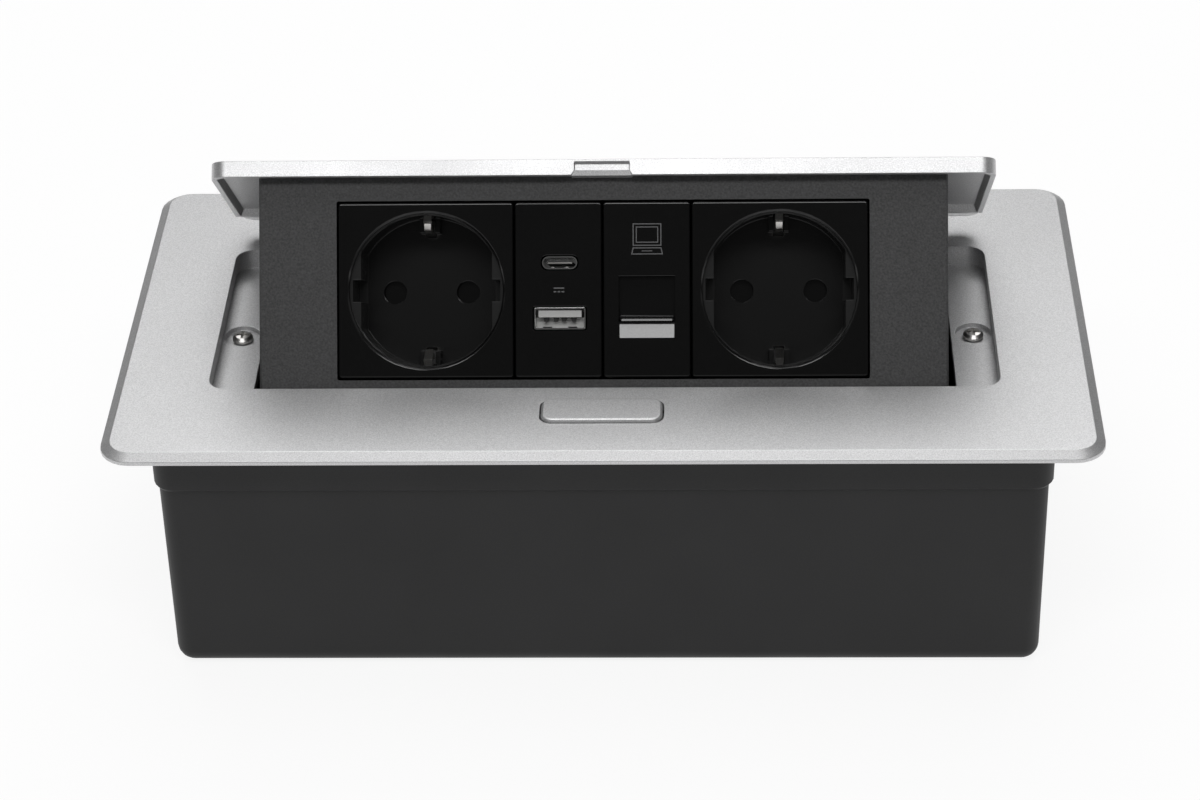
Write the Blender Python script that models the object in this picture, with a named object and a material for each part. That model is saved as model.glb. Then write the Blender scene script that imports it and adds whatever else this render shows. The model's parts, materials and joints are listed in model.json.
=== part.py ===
"""In-desk power module: a desk frame and housing with a sprung pop-up unit of sockets.

The unit carries a lid, a fascia, two earthed sockets, a USB charger and a data outlet, and
stands open. Everything is in metres with +Z up. The origin is the centre of the housing's
underside. Inside the script the desk level is z = 0 and the hinge line is y = 0, and two
empties carry that frame and the tilted frame of the fascia.
"""
import math

import bmesh
import bpy
from mathutils import Matrix, Vector

# Gaps between pieces
GAP = 0.0003
SWING_CLEARANCE = 0.0005

# Module field in the fascia
MODULE = 0.045
MODULE_GAP = 0.0004
MODULE_PROUD = 0.0006
MODULE_EDGE = 0.00035
MODULE_PLATE = 0.003

# Fascia, lid and carriage
SIDE_MARGIN = 0.0202
TOP_MARGIN = 0.0058
BOTTOM_MARGIN = 0.0029
FASCIA_THICKNESS = 0.002
FASCIA_LEAN = math.radians(9.5)
FASCIA_SINK = 0.0012
LID_REACH = 0.07645
LID_OVERHANG = 0.0039
LID_RIM_HEIGHT = 0.0042
LID_RIM_WIDTH = 0.0015
LID_TRAY_DEPTH = 0.0019
TRAY_CLEARANCE = 0.0004
LID_TRAY_LEAN = 0.0008
LID_BACK_THICKNESS = 0.0012
LID_BACK_CHAMFER = 0.0006
LID_SIDE_GAP = 0.0011
LID_BACK_GAP = 0.0014
LID_CORNER_RADIUS = 0.004
KEEPER_WIDTH = 0.014
KEEPER_TOP = 0.0007
KEEPER_HEIGHT = 0.0022
KEEPER_DEPTH = 0.0016
KEEPER_RAMP = 0.0009
CARRIAGE_INSET = 0.001
CARRIAGE_WALL = 0.0025
COVER_THICKNESS = 0.002
COVER_CLEARANCE = 0.0011
LEAD_SLOT_WIDTH = 0.030
LEAD_SLOT_HEIGHT = 0.008
LEAD_SLOT_RADIUS = 0.003
STOP_REACH = 0.0055
STOP_THICKNESS = 0.0025
STOP_INNER_X = 0.034
STOP_OUTER_X = 0.080

# Hinge
PIVOT_DROP = 0.0129
PIN_RADIUS = 0.002
PIN_HEAD_RADIUS = 0.0035
PIN_HEAD_LENGTH = 0.0012
PIN_LENGTH = 0.018
ARM_BOSS_RADIUS = 0.0045
BRACKET_RADIUS = 0.006
BRACKET_THICKNESS = 0.0028
BRACKET_DROP = 0.014
BRACKET_GAP = 0.0005

# Desk frame
SIDE_GAP = 0.0026
LEDGE_WIDTH = 0.0106
SIDE_BAND = 0.0242
FRONT_BAND = 0.0304
BACK_BAND = 0.0324
BACK_EDGE_TO_PIVOT = 0.0101
FRAME_THICKNESS = 0.0026
COLLAR_SEAT = 0.0004
FRAME_BEVEL_WIDTH = 0.0024
FRAME_BEVEL_HEIGHT = 0.0015
FRAME_CORNER_RADIUS = 0.008
OPENING_RADIUS = 0.0045
UNDERCUT = 0.0005
UNDERCUT_TOP = 0.0033
LEDGE_DEPTH = 0.0059
LEDGE_THICKNESS = 0.0027
POCKET_WALL = 0.003

# Housing
HOUSING_HEIGHT = 0.071
HOUSING_WALL = 0.0022
HOUSING_RADIUS = 0.0045
FRAME_OVERLAP_X = 0.013
FRAME_OVERLAP_Y = 0.0066
COLLAR_STEP = 0.0011
COLLAR_BOTTOM = 0.0153
COLLAR_EDGE = 0.0006

# Frame screws
SCREW_FROM_WALL = 0.0047
SCREW_RADIUS = 0.00175
SCREW_LENGTH = 0.012
SCREW_HEAD_RADIUS = 0.0027
SCREW_HEAD_HEIGHT = 0.0015
COUNTERBORE_RADIUS = 0.00475
COUNTERBORE_DEPTH = 0.0013
BOSS_RADIUS = 0.0045
BOSS_LENGTH = 0.016
RIB_THICKNESS = 0.0025

# Release button and latch
BUTTON_WIDTH = 0.0307
BUTTON_DEPTH = 0.01005
BUTTON_RADIUS = 0.0028
BUTTON_HEIGHT = 0.0008
BUTTON_DRAFT = 0.00045
BUTTON_FROM_EDGE = 0.0057
BUTTON_WING = 0.0015
BUTTON_WING_THICKNESS = 0.0012
BUTTON_TRAVEL = 0.0008
BLADE_WIDTH = 0.008
BLADE_THICKNESS = 0.002
BLADE_TIP = 0.0088
TONGUE_WIDTH = 0.012
TONGUE_TOP = 0.0013
TONGUE_THICKNESS = 0.0011
TONGUE_REACH = 0.00025
LATCH_WIDTH = 0.014
LATCH_PLATE_TOP = 0.006
LATCH_PLATE_THICKNESS = 0.002
LATCH_LENGTH = 0.0145
LATCH_UPRIGHT = 0.0017
CARRIER_FLOOR = 0.0016
CARRIER_WALL = 0.0016
CARRIER_TAB = 0.0072
BUTTON_SPRING_RADIUS = 0.002
BUTTON_SPRING_WIRE = 0.0003
BUTTON_SPRING_INSET = 0.00155
TAB_SCREW_RADIUS = 0.0011
TAB_SCREW_HEAD_RADIUS = 0.0022
TAB_SCREW_HEAD_HEIGHT = 0.0014
TAB_SCREW_LENGTH = 0.005
TAB_BOSS_RADIUS = 0.0026

# Hinge springs
HINGE_SPRING_RADIUS = 0.0034
HINGE_SPRING_WIRE = 0.0005
HINGE_SPRING_TURNS = 5
HINGE_SPRING_PITCH = 0.0013
PEG_RADIUS = 0.0012
PEG_FORWARD = 0.0065

# Cable gland in the back wall
GLAND_X = 0.078
GLAND_DROP = 0.045
GLAND_RADIUS = 0.008
GLAND_RIM_RADIUS = 0.0102
GLAND_RIM = 0.002
GLAND_NOSE = 0.0038
GLAND_BORE = 0.0042

# Earthed sockets
WELL_RADIUS = 0.01965
WELL_DEPTH = 0.0175
WELL_MOUTH = 0.0012
WELL_CHAMFER = 0.0006
WELL_STEP = 0.0004
CUP_RADIUS = 0.0214
CUP_FLOOR = 0.0014
CUP_SKIRT = 0.0065
CUP_SKIRT_WALL = 0.0014
LUG_FLAT = 0.0167
LUG_GROOVE = 0.0056
LUG_GROOVE_REACH = 0.0188
PIN_SPACING = 0.019
PIN_HOLE_RADIUS = 0.00295
CLIP_WIDTH = 0.0021
CLIP_THICKNESS = 0.0006
CLIP_BLOCK_WIDTH = 0.0052
CLIP_BLOCK_FRONT = 0.0125
CLIP_BLOCK_INNER = 0.0152
CLIP_CREST = 0.0149
CLIP_CREST_DEPTH = 0.0093
CLIP_FOOT_DEPTH = 0.0140
CLIP_FOOT_SETBACK = 0.0021
CLIP_BROW_DEPTH = 0.0048
CLIP_BROW_SETBACK = 0.0016
CLIP_HOOK_DEPTH = 0.0056
BASE_RADIUS = 0.0187
BASE_DEPTH = 0.0365
CHAMBER_RADIUS = 0.0137
CHAMBER_DEPTH = 0.0026
SLEEVE_RADIUS = 0.0033
SLEEVE_BORE = 0.0024
SLEEVE_LENGTH = 0.013
SHUTTER_DISC = 0.0036
SHUTTER_THICKNESS = 0.0018
SHUTTER_HUB = 0.0032
SHUTTER_POST = 0.0015

# Half modules: USB charger and data outlet
BODY_INSET_X = 0.00105
BODY_INSET_Y = 0.002
BODY_WALL = 0.0012
USB_BODY_DEPTH = 0.024
USB_PORT_X = 0.00035
USB_C_Y = 0.0069
USB_C_WIDTH = 0.00894
USB_C_HEIGHT = 0.00326
USB_C_WALL = 0.0003
USB_C_TONGUE_WIDTH = 0.0065
USB_C_TONGUE_HEIGHT = 0.0007
USB_A_Y = -0.00725
USB_A_WIDTH = 0.0131
USB_A_HEIGHT = 0.0055
USB_A_WALL = 0.00035
USB_A_TONGUE_WIDTH = 0.0110
USB_A_TONGUE_HEIGHT = 0.0018
USB_BOARD_DEPTH = 0.0150
BOARD_THICKNESS = 0.0016
CONVERTER_SIZE = (0.014, 0.024, 0.006)
BACK_PLATE = 0.0012
DATA_OPENING_WIDTH = 0.0142
DATA_OPENING_TOP = 0.0034
DATA_OPENING_BOTTOM = -0.0084
DATA_SKIN = 0.0010
DATA_BODY_DEPTH = 0.030
SHUTTER_OVERLAP = 0.0009
SHUTTER_PLATE = 0.0013
SHUTTER_TRAVEL = 0.0097
LIP_HEIGHT = 0.0015
LIP_REACH = 0.0013
JACK_HEIGHT = 0.0162
JACK_DEPTH = 0.022
JACK_PORT_WIDTH = 0.0118
JACK_PORT_HEIGHT = 0.0068
JACK_Y = -0.0025
LABEL_TOP = -0.0088
LABEL_HEIGHT = 0.0035
LABEL_WIDTH = 0.0139
LABEL_THICKNESS = 0.0008
LABEL_PROUD = 0.0002

# Places worked out from the sizes above
FIELD_WIDTH = 3 * MODULE
FRAME_UNDERSIDE = COLLAR_SEAT - FRAME_THICKNESS
CARRIAGE_DEPTH = BASE_DEPTH + GAP + CLIP_THICKNESS + COVER_CLEARANCE + COVER_THICKNESS
LID_TRAY_LENGTH = (LID_OVERHANG + CARRIAGE_DEPTH / math.cos(FASCIA_LEAN)
                   - (LID_TRAY_DEPTH - GAP) * math.tan(FASCIA_LEAN)
                   + TRAY_CLEARANCE + LID_TRAY_LEAN + LID_RIM_WIDTH)
BUTTON_SPRING_X = BUTTON_WIDTH / 2 - BUTTON_SPRING_RADIUS - BUTTON_SPRING_INSET
FASCIA_WIDTH = FIELD_WIDTH + 2 * SIDE_MARGIN
CARRIAGE_HALF = FASCIA_WIDTH / 2 - CARRIAGE_INSET
SHAFT_HALF = FASCIA_WIDTH / 2 + SIDE_GAP
OPENING_HALF = SHAFT_HALF + LEDGE_WIDTH
FRAME_WIDTH = 2 * (OPENING_HALF + SIDE_BAND)
LID_HALF = OPENING_HALF - LID_SIDE_GAP
UP = Vector((-math.sin(FASCIA_LEAN), math.cos(FASCIA_LEAN)))
OUT = Vector((-math.cos(FASCIA_LEAN), -math.sin(FASCIA_LEAN)))
FASCIA_TOP = Vector((-LID_REACH + LID_OVERHANG, PIVOT_DROP - LID_RIM_HEIGHT))
PANEL = FASCIA_TOP - UP * (MODULE / 2 + TOP_MARGIN)
FASCIA_FOOT = PANEL - UP * (MODULE / 2 + BOTTOM_MARGIN)
OPEN_ANGLE = (math.asin((PIVOT_DROP - FASCIA_SINK) / FASCIA_FOOT.length)
              - math.atan2(FASCIA_FOOT.y, -FASCIA_FOOT.x))
SWING_RADIUS = max(FASCIA_FOOT.length, math.hypot(LID_REACH, PIVOT_DROP)) + SWING_CLEARANCE
OPENING_FRONT = -math.sqrt(SWING_RADIUS ** 2 - (PIVOT_DROP - FRAME_THICKNESS) ** 2)
OPENING_BACK = -BACK_EDGE_TO_PIVOT
FRAME_FRONT = OPENING_FRONT - FRONT_BAND
FRAME_BACK = OPENING_BACK + BACK_BAND
FRAME_CENTRE = (FRAME_FRONT + FRAME_BACK) / 2
HOUSING_HALF = FRAME_WIDTH / 2 - FRAME_OVERLAP_X
HOUSING_FRONT = FRAME_FRONT + FRAME_OVERLAP_Y
HOUSING_BACK = FRAME_BACK - FRAME_OVERLAP_Y
SCREW_X = OPENING_HALF - SCREW_FROM_WALL
SCREW_Y = (OPENING_FRONT + OPENING_BACK) / 2
LEDGE_BOTTOM = -LEDGE_DEPTH - LEDGE_THICKNESS
BUTTON_Y = OPENING_FRONT - BUTTON_FROM_EDGE - BUTTON_DEPTH / 2
LATCH_FLOOR = -LATCH_PLATE_TOP - LATCH_PLATE_THICKNESS - GAP
TAB_SCREW_X = BUTTON_WIDTH / 2 + BUTTON_WING + CARRIER_WALL + CARRIER_TAB / 2
CUP_FLOOR_BACK = -WELL_DEPTH - CUP_FLOOR
SHUTTER_BACK = -DATA_SKIN - GAP - SHUTTER_PLATE


def clear_scene():
    for obj in list(bpy.data.objects):
        bpy.data.objects.remove(obj, do_unlink=True)


def paint(name, colour, roughness, metallic=0.0):
    material = bpy.data.materials.new(name)
    material.use_nodes = True
    shader = material.node_tree.nodes["Principled BSDF"]
    shader.inputs["Base Color"].default_value = (*colour, 1.0)
    shader.inputs["Roughness"].default_value = roughness
    shader.inputs["Metallic"].default_value = metallic
    return material


def empty(name, parent=None, location=(0, 0, 0), turn=0.0):
    obj = bpy.data.objects.new(name, None)
    bpy.context.collection.objects.link(obj)
    obj.parent = parent
    obj.location = location
    obj.rotation_euler = (turn, 0, 0)
    return obj


def rounded_rectangle(width, depth, radius, centre=(0, 0), steps=6):
    """Outline of a rectangle with round corners, counter-clockwise."""
    points = []
    corners = ((1, 1, 0), (-1, 1, 90), (-1, -1, 180), (1, -1, 270))
    for side_x, side_y, start in corners:
        x = centre[0] + side_x * (width / 2 - radius)
        y = centre[1] + side_y * (depth / 2 - radius)
        for i in range(steps + 1):
            angle = math.radians(start + 90 * i / steps)
            points.append((x + radius * math.cos(angle), y + radius * math.sin(angle)))
    return points


def circle(radius, centre=(0, 0), steps=32):
    angles = [2 * math.pi * i / steps for i in range(steps)]
    return [(centre[0] + radius * math.cos(a), centre[1] + radius * math.sin(a)) for a in angles]


def rectangle(x0, x1, y0, y1):
    return [(x0, y0), (x1, y0), (x1, y1), (x0, y1)]


def at_height(outline, z):
    return [(x, y, z) for x, y in outline]


def at_side(outline, x):
    """Place an outline drawn in Y and Z at one X."""
    return [(x, y, z) for y, z in outline]


def loft(rings, shape=None):
    """A closed solid through rings of equal point count, with flat ends."""
    shape = shape or bmesh.new()
    loops = [[shape.verts.new(point) for point in ring] for ring in rings]
    faces = []
    for lower, upper in zip(loops, loops[1:]):
        for i in range(len(lower)):
            j = (i + 1) % len(lower)
            faces.append(shape.faces.new((lower[i], lower[j], upper[j], upper[i])))
    faces.append(shape.faces.new(list(reversed(loops[0]))))
    faces.append(shape.faces.new(loops[-1]))
    bmesh.ops.recalc_face_normals(shape, faces=faces)
    return shape


def prism(outline, z0, z1, shape=None):
    return loft([at_height(outline, z0), at_height(outline, z1)], shape)


def side_prism(outline, x0, x1, shape=None):
    return loft([at_side(outline, x0), at_side(outline, x1)], shape)


def block(low, high, shape=None):
    return prism(rectangle(low[0], high[0], low[1], high[1]), low[2], high[2], shape)


def turned(profile, steps=32, shape=None):
    """Revolve a closed profile of (radius, z) points about Z."""
    shape = shape or bmesh.new()
    columns = []
    for radius, z in profile:
        if radius == 0:
            columns.append([shape.verts.new((0, 0, z))] * steps)
        else:
            columns.append([shape.verts.new((x, y, z)) for x, y in circle(radius, steps=steps)])
    faces = []
    for this, following in zip(columns, columns[1:] + columns[:1]):
        for i in range(steps):
            j = (i + 1) % steps
            corners = list(dict.fromkeys((this[i], this[j], following[j], following[i])))
            if len(corners) > 2:
                faces.append(shape.faces.new(corners))
    bmesh.ops.recalc_face_normals(shape, faces=faces)
    return shape


def coil(radius, wire, turns, pitch, lead_in=(), lead_out=(), steps=10, sides=5):
    """A wire spring about Z, with optional straight ends given as points."""
    count = turns * steps
    path = [Vector(point) for point in lead_in]
    for i in range(count + 1):
        angle = 2 * math.pi * i / steps
        path.append(Vector((radius * math.cos(angle), radius * math.sin(angle), pitch * i / steps)))
    path += [Vector(point) for point in lead_out]
    rings = []
    for i, point in enumerate(path):
        ahead = path[min(i + 1, len(path) - 1)] - path[max(i - 1, 0)]
        ahead.normalize()
        across = ahead.cross(Vector((0, 0, 1))).normalized()
        upward = across.cross(ahead)
        ring = []
        for k in range(sides):
            angle = 2 * math.pi * k / sides
            ring.append(point + across * (wire * math.cos(angle)) + upward * (wire * math.sin(angle)))
        rings.append(ring)
    return loft(rings)


def ribbon(path, thickness):
    """Outline of a bent strip of constant thickness along a path of 2-D points."""
    points = [Vector(point) for point in path]
    left, right = [], []
    for i, point in enumerate(points):
        before = (point - points[i - 1]).normalized() if i else None
        after = (points[i + 1] - point).normalized() if i + 1 < len(points) else None
        first = before or after
        second = after or before
        tangent = (first + second).normalized()
        normal = Vector((-tangent.y, tangent.x))
        reach = thickness / 2 / max(0.3, normal.dot(Vector((-first.y, first.x))))
        left.append(tuple(point + normal * reach))
        right.append(tuple(point - normal * reach))
    return right + list(reversed(left))


def piece(name, shape, material, parent, location=(0, 0, 0), rotation=(0, 0, 0)):
    mesh = bpy.data.meshes.new(name)
    bmesh.ops.recalc_face_normals(shape, faces=shape.faces)
    shape.to_mesh(mesh)
    shape.free()
    mesh.shade_smooth()
    mesh.set_sharp_from_angle(angle=math.radians(30))
    mesh.materials.append(material)
    obj = bpy.data.objects.new(name, mesh)
    bpy.context.collection.objects.link(obj)
    obj.parent = parent
    obj.location = location
    obj.rotation_euler = rotation
    return obj


def shape_with(target, shape, operation):
    """Cut a shape from a piece, or join it to the piece, in the piece's own frame."""
    name = f"{target.name}_tool_{len(target.modifiers) + 1}"
    mesh = bpy.data.meshes.new(name)
    shape.to_mesh(mesh)
    shape.free()
    tool = bpy.data.objects.new(name, mesh)
    bpy.context.collection.objects.link(tool)
    tool.parent = target.parent
    tool.location = target.location
    tool.rotation_euler = target.rotation_euler
    tool.hide_render = True
    tool.display_type = "WIRE"
    modifier = target.modifiers.new(name, "BOOLEAN")
    modifier.operation = operation
    modifier.solver = "EXACT"
    modifier.object = tool


def cut(target, shape):
    shape_with(target, shape, "DIFFERENCE")


def join(target, shape):
    shape_with(target, shape, "UNION")


def make_frame(finish, parent):
    """Cast frame: bevelled plate, opening, two screw ledges and the button's slot."""
    depth = FRAME_BACK - FRAME_FRONT
    centre = (0, FRAME_CENTRE)
    full = rounded_rectangle(FRAME_WIDTH, depth, FRAME_CORNER_RADIUS, centre)
    top = rounded_rectangle(FRAME_WIDTH - 2 * FRAME_BEVEL_WIDTH, depth - 2 * FRAME_BEVEL_WIDTH,
                            FRAME_CORNER_RADIUS - FRAME_BEVEL_WIDTH, centre)
    plate = loft([at_height(full, -FRAME_THICKNESS), at_height(full, -FRAME_BEVEL_HEIGHT), at_height(top, 0)])
    frame = piece("bezel_frame", plate, finish, parent)
    cut(frame, loft([housing_ring(0, -FRAME_THICKNESS - GAP, COLLAR_STEP + GAP),
                     housing_ring(0, FRAME_UNDERSIDE, COLLAR_STEP + GAP)]))

    pocket_outer = OPENING_HALF + POCKET_WALL
    for side in (-1, 1):
        ends = sorted((side * SHAFT_HALF, side * pocket_outer))
        low = (ends[0], OPENING_FRONT - POCKET_WALL, LEDGE_BOTTOM)
        high = (ends[1], OPENING_BACK + POCKET_WALL, -FRAME_THICKNESS / 2)
        join(frame, block(low, high))

    opening_centre = (0, SCREW_Y)
    opening_depth = OPENING_BACK - OPENING_FRONT
    upper = rounded_rectangle(2 * OPENING_HALF, opening_depth, OPENING_RADIUS, opening_centre)
    cut(frame, prism(upper, -UNDERCUT_TOP, FRAME_THICKNESS))
    lower = rounded_rectangle(2 * (OPENING_HALF + UNDERCUT), opening_depth + 2 * UNDERCUT,
                              OPENING_RADIUS + UNDERCUT, opening_centre)
    lower_shape = prism(lower, -LEDGE_DEPTH, -UNDERCUT_TOP)
    cut(frame, lower_shape)

    holes = bmesh.new()
    for side in (-1, 1):
        place = (side * SCREW_X, SCREW_Y)
        wide = circle(COUNTERBORE_RADIUS, place)
        narrow = circle(SCREW_RADIUS + GAP, place)
        floor = -LEDGE_DEPTH - COUNTERBORE_DEPTH
        loft([at_height(narrow, LEDGE_BOTTOM - GAP), at_height(narrow, floor),
              at_height(wide, floor), at_height(wide, -LEDGE_DEPTH + GAP)], holes)
    cut(frame, holes)

    bosses = bmesh.new()
    for side in (-1, 1):
        place = (side * TAB_SCREW_X, BUTTON_Y)
        prism(circle(TAB_BOSS_RADIUS, place, 20), LATCH_FLOOR + GAP, -FRAME_THICKNESS / 2, bosses)
    join(frame, bosses)
    pilots = bmesh.new()
    for side in (-1, 1):
        place = (side * TAB_SCREW_X, BUTTON_Y)
        prism(circle(TAB_SCREW_RADIUS + GAP, place, 16), LATCH_FLOOR - GAP, -FRAME_THICKNESS, pilots)
    cut(frame, pilots)

    slot = rounded_rectangle(BUTTON_WIDTH + 2 * GAP, BUTTON_DEPTH + 2 * GAP, BUTTON_RADIUS + GAP, (0, BUTTON_Y))
    cut(frame, prism(slot, -2 * FRAME_THICKNESS, FRAME_THICKNESS))
    channel_end = OPENING_FRONT + TONGUE_REACH - LATCH_UPRIGHT * 2 - BUTTON_TRAVEL - 2 * GAP
    cut(frame, block((-TONGUE_WIDTH / 2 - GAP, channel_end, -2 * FRAME_THICKNESS),
                     (TONGUE_WIDTH / 2 + GAP, OPENING_FRONT + FRAME_THICKNESS, -TONGUE_TOP + GAP)))


def housing_ring(inset, z, grow=0.0):
    """Outline of the housing, set in by a distance, at one height."""
    width = 2 * HOUSING_HALF + 2 * grow - 2 * inset
    depth = HOUSING_BACK - HOUSING_FRONT + 2 * grow - 2 * inset
    radius = max(HOUSING_RADIUS + grow - inset, HOUSING_RADIUS / 4)
    return at_height(rounded_rectangle(width, depth, radius, (0, FRAME_CENTRE)), z)


def rounded_box_rings(wall, top, steps=5):
    """Rings of a box with a rounded foot, from its floor up to a height."""
    radius = HOUSING_RADIUS - wall / 2
    floor = -HOUSING_HEIGHT + wall
    rings = []
    for i in range(steps + 1):
        angle = math.pi / 2 * i / steps
        inset = wall + radius * (1 - math.sin(angle))
        rings.append(housing_ring(inset, floor + radius * (1 - math.cos(angle))))
    rings.append(housing_ring(wall, top))
    return rings


def make_housing(plastic, parent):
    """Moulded box with a collar, screw bosses, hinge brackets and a cable hole."""
    rings = rounded_box_rings(0.0, -COLLAR_BOTTOM)
    rings.append(housing_ring(0, -COLLAR_BOTTOM + COLLAR_EDGE / 2, COLLAR_STEP - COLLAR_EDGE))
    rings.append(housing_ring(0, -COLLAR_BOTTOM + COLLAR_EDGE * 2, COLLAR_STEP))
    rings.append(housing_ring(0, FRAME_UNDERSIDE - GAP, COLLAR_STEP))
    housing = piece("housing", loft(rings), plastic, parent)
    cut(housing, loft(rounded_box_rings(HOUSING_WALL, 0.0)))

    columns = bmesh.new()
    boss_top = LEDGE_BOTTOM - GAP
    for side in (-1, 1):
        prism(circle(BOSS_RADIUS, (side * SCREW_X, SCREW_Y), 24), boss_top - BOSS_LENGTH, boss_top, columns)
    join(housing, columns)
    ribs = bmesh.new()
    for side in (-1, 1):
        ends = sorted((side * (SCREW_X + BOSS_RADIUS / 2), side * (HOUSING_HALF - HOUSING_WALL / 2)))
        block((ends[0], SCREW_Y - RIB_THICKNESS / 2, boss_top - BOSS_LENGTH),
              (ends[1], SCREW_Y + RIB_THICKNESS / 2, boss_top - GAP), ribs)
    join(housing, ribs)
    bores = bmesh.new()
    for side in (-1, 1):
        place = (side * SCREW_X, SCREW_Y)
        prism(circle(SCREW_RADIUS + GAP, place, 20), boss_top - SCREW_LENGTH, boss_top + GAP, bores)
    cut(housing, bores)

    bracket_inner = CARRIAGE_HALF + BRACKET_GAP
    brackets = bmesh.new()
    wall = HOUSING_BACK - HOUSING_WALL / 2
    arc = [math.radians(90 + 180 * i / 12) for i in range(13)]
    nose = [(BRACKET_RADIUS * math.cos(a), BRACKET_RADIUS * math.sin(a)) for a in arc]
    outline = nose[:-1] + [(0, -BRACKET_RADIUS), (wall, -BRACKET_DROP), (wall, BRACKET_RADIUS)]
    outline = [(y, z - PIVOT_DROP) for y, z in outline]
    for side in (-1, 1):
        ends = sorted((side * bracket_inner, side * (bracket_inner + BRACKET_THICKNESS)))
        side_prism(outline, ends[0], ends[1], brackets)
    join(housing, brackets)
    pivots = bmesh.new()
    for side in (-1, 1):
        ends = sorted((side * (bracket_inner - GAP), side * (bracket_inner + BRACKET_THICKNESS + GAP)))
        side_prism(circle(PIN_RADIUS + GAP, (0, -PIVOT_DROP), 20), ends[0], ends[1], pivots)
    cut(housing, pivots)

    hole = bmesh.new()
    outline = [(x, z) for x, z in circle(GLAND_RADIUS + GAP, (GLAND_X, -GLAND_DROP), 32)]
    front = [(x, HOUSING_BACK - 2 * HOUSING_WALL, z) for x, z in outline]
    back = [(x, HOUSING_BACK + HOUSING_WALL, z) for x, z in outline]
    cut(housing, loft([front, back], hole))


def make_cross_screw(name, material, parent, place, length, radius, head_radius, head_height, flip=False):
    """A round-headed screw with a cross recess. Its head sits on z = 0 and its shank runs down."""
    profile = [(0, -length), (radius * 0.6, -length), (radius, -length + radius), (radius, 0),
               (head_radius, 0), (head_radius, head_height * 0.45), (head_radius * 0.72, head_height * 0.88),
               (head_radius * 0.4, head_height), (0, head_height)]
    turn = math.pi if flip else 0.0
    screw = piece(name, turned(profile, 18), material, parent, place, (turn, 0, 0))
    arm = head_radius * 0.62
    half = head_radius * 0.15
    deep = head_height * 0.3
    for long, wide in ((arm, half), (half, arm)):
        cut(screw, block((-long, -wide, deep), (long, wide, head_height * 2)))
    return screw


def make_button(finish, parent):
    """Release button: a raised pad in the frame with retaining wings and a slanted blade."""
    wide = rounded_rectangle(BUTTON_WIDTH, BUTTON_DEPTH, BUTTON_RADIUS)
    top = rounded_rectangle(BUTTON_WIDTH - 2 * BUTTON_DRAFT, BUTTON_DEPTH - 2 * BUTTON_DRAFT,
                            BUTTON_RADIUS - BUTTON_DRAFT)
    wing_top = FRAME_UNDERSIDE - GAP
    cap = loft([at_height(wide, wing_top - BUTTON_WING_THICKNESS), at_height(wide, 0), at_height(top, BUTTON_HEIGHT)])
    button = piece("release_button", cap, finish, parent, (0, BUTTON_Y, 0))
    wing = BUTTON_WIDTH / 2 + BUTTON_WING - GAP
    join(button, block((-wing, -BUTTON_DEPTH / 4, wing_top - BUTTON_WING_THICKNESS),
                       (wing, BUTTON_DEPTH / 4, wing_top)))
    middle = -LATCH_PLATE_TOP - LATCH_PLATE_THICKNESS / 2
    half = BLADE_THICKNESS / 2
    z_top = wing_top - BUTTON_WING_THICKNESS / 2
    blade = [(-half - (z - middle), z) for z in (-BLADE_TIP, z_top)]
    blade += [(half - (z - middle), z) for z in (z_top, -BLADE_TIP)]
    join(button, side_prism(blade, -BLADE_WIDTH / 2, BLADE_WIDTH / 2))


def make_latch(metal, parent):
    """Latch bolt: a sliding plate with an upright and a tongue, driven by the button's blade."""
    tip = OPENING_FRONT + TONGUE_REACH
    back = tip - LATCH_UPRIGHT
    plate_bottom = -LATCH_PLATE_TOP - LATCH_PLATE_THICKNESS
    outline = [(tip, -TONGUE_TOP), (back - LATCH_UPRIGHT, -TONGUE_TOP), (back - LATCH_UPRIGHT, -LATCH_PLATE_TOP),
               (tip - LATCH_LENGTH, -LATCH_PLATE_TOP), (tip - LATCH_LENGTH, plate_bottom), (back, plate_bottom),
               (back, -TONGUE_TOP - TONGUE_THICKNESS), (tip, -TONGUE_TOP - TONGUE_THICKNESS)]
    half = TONGUE_WIDTH / 2
    latch = piece("latch_bolt", side_prism(outline, -half, half), metal, parent)
    middle = (-LATCH_PLATE_TOP + plate_bottom) / 2
    reach = BLADE_THICKNESS / 2 + GAP * math.sqrt(2)
    low = plate_bottom - GAP
    high = -LATCH_PLATE_TOP + GAP
    window = [(BUTTON_Y - reach - (z - middle), z) for z in (low, high)]
    window += [(BUTTON_Y + reach - (z - middle), z) for z in (high, low)]
    cut(latch, side_prism(window, -BLADE_WIDTH / 2 - GAP, BLADE_WIDTH / 2 + GAP))


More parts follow.
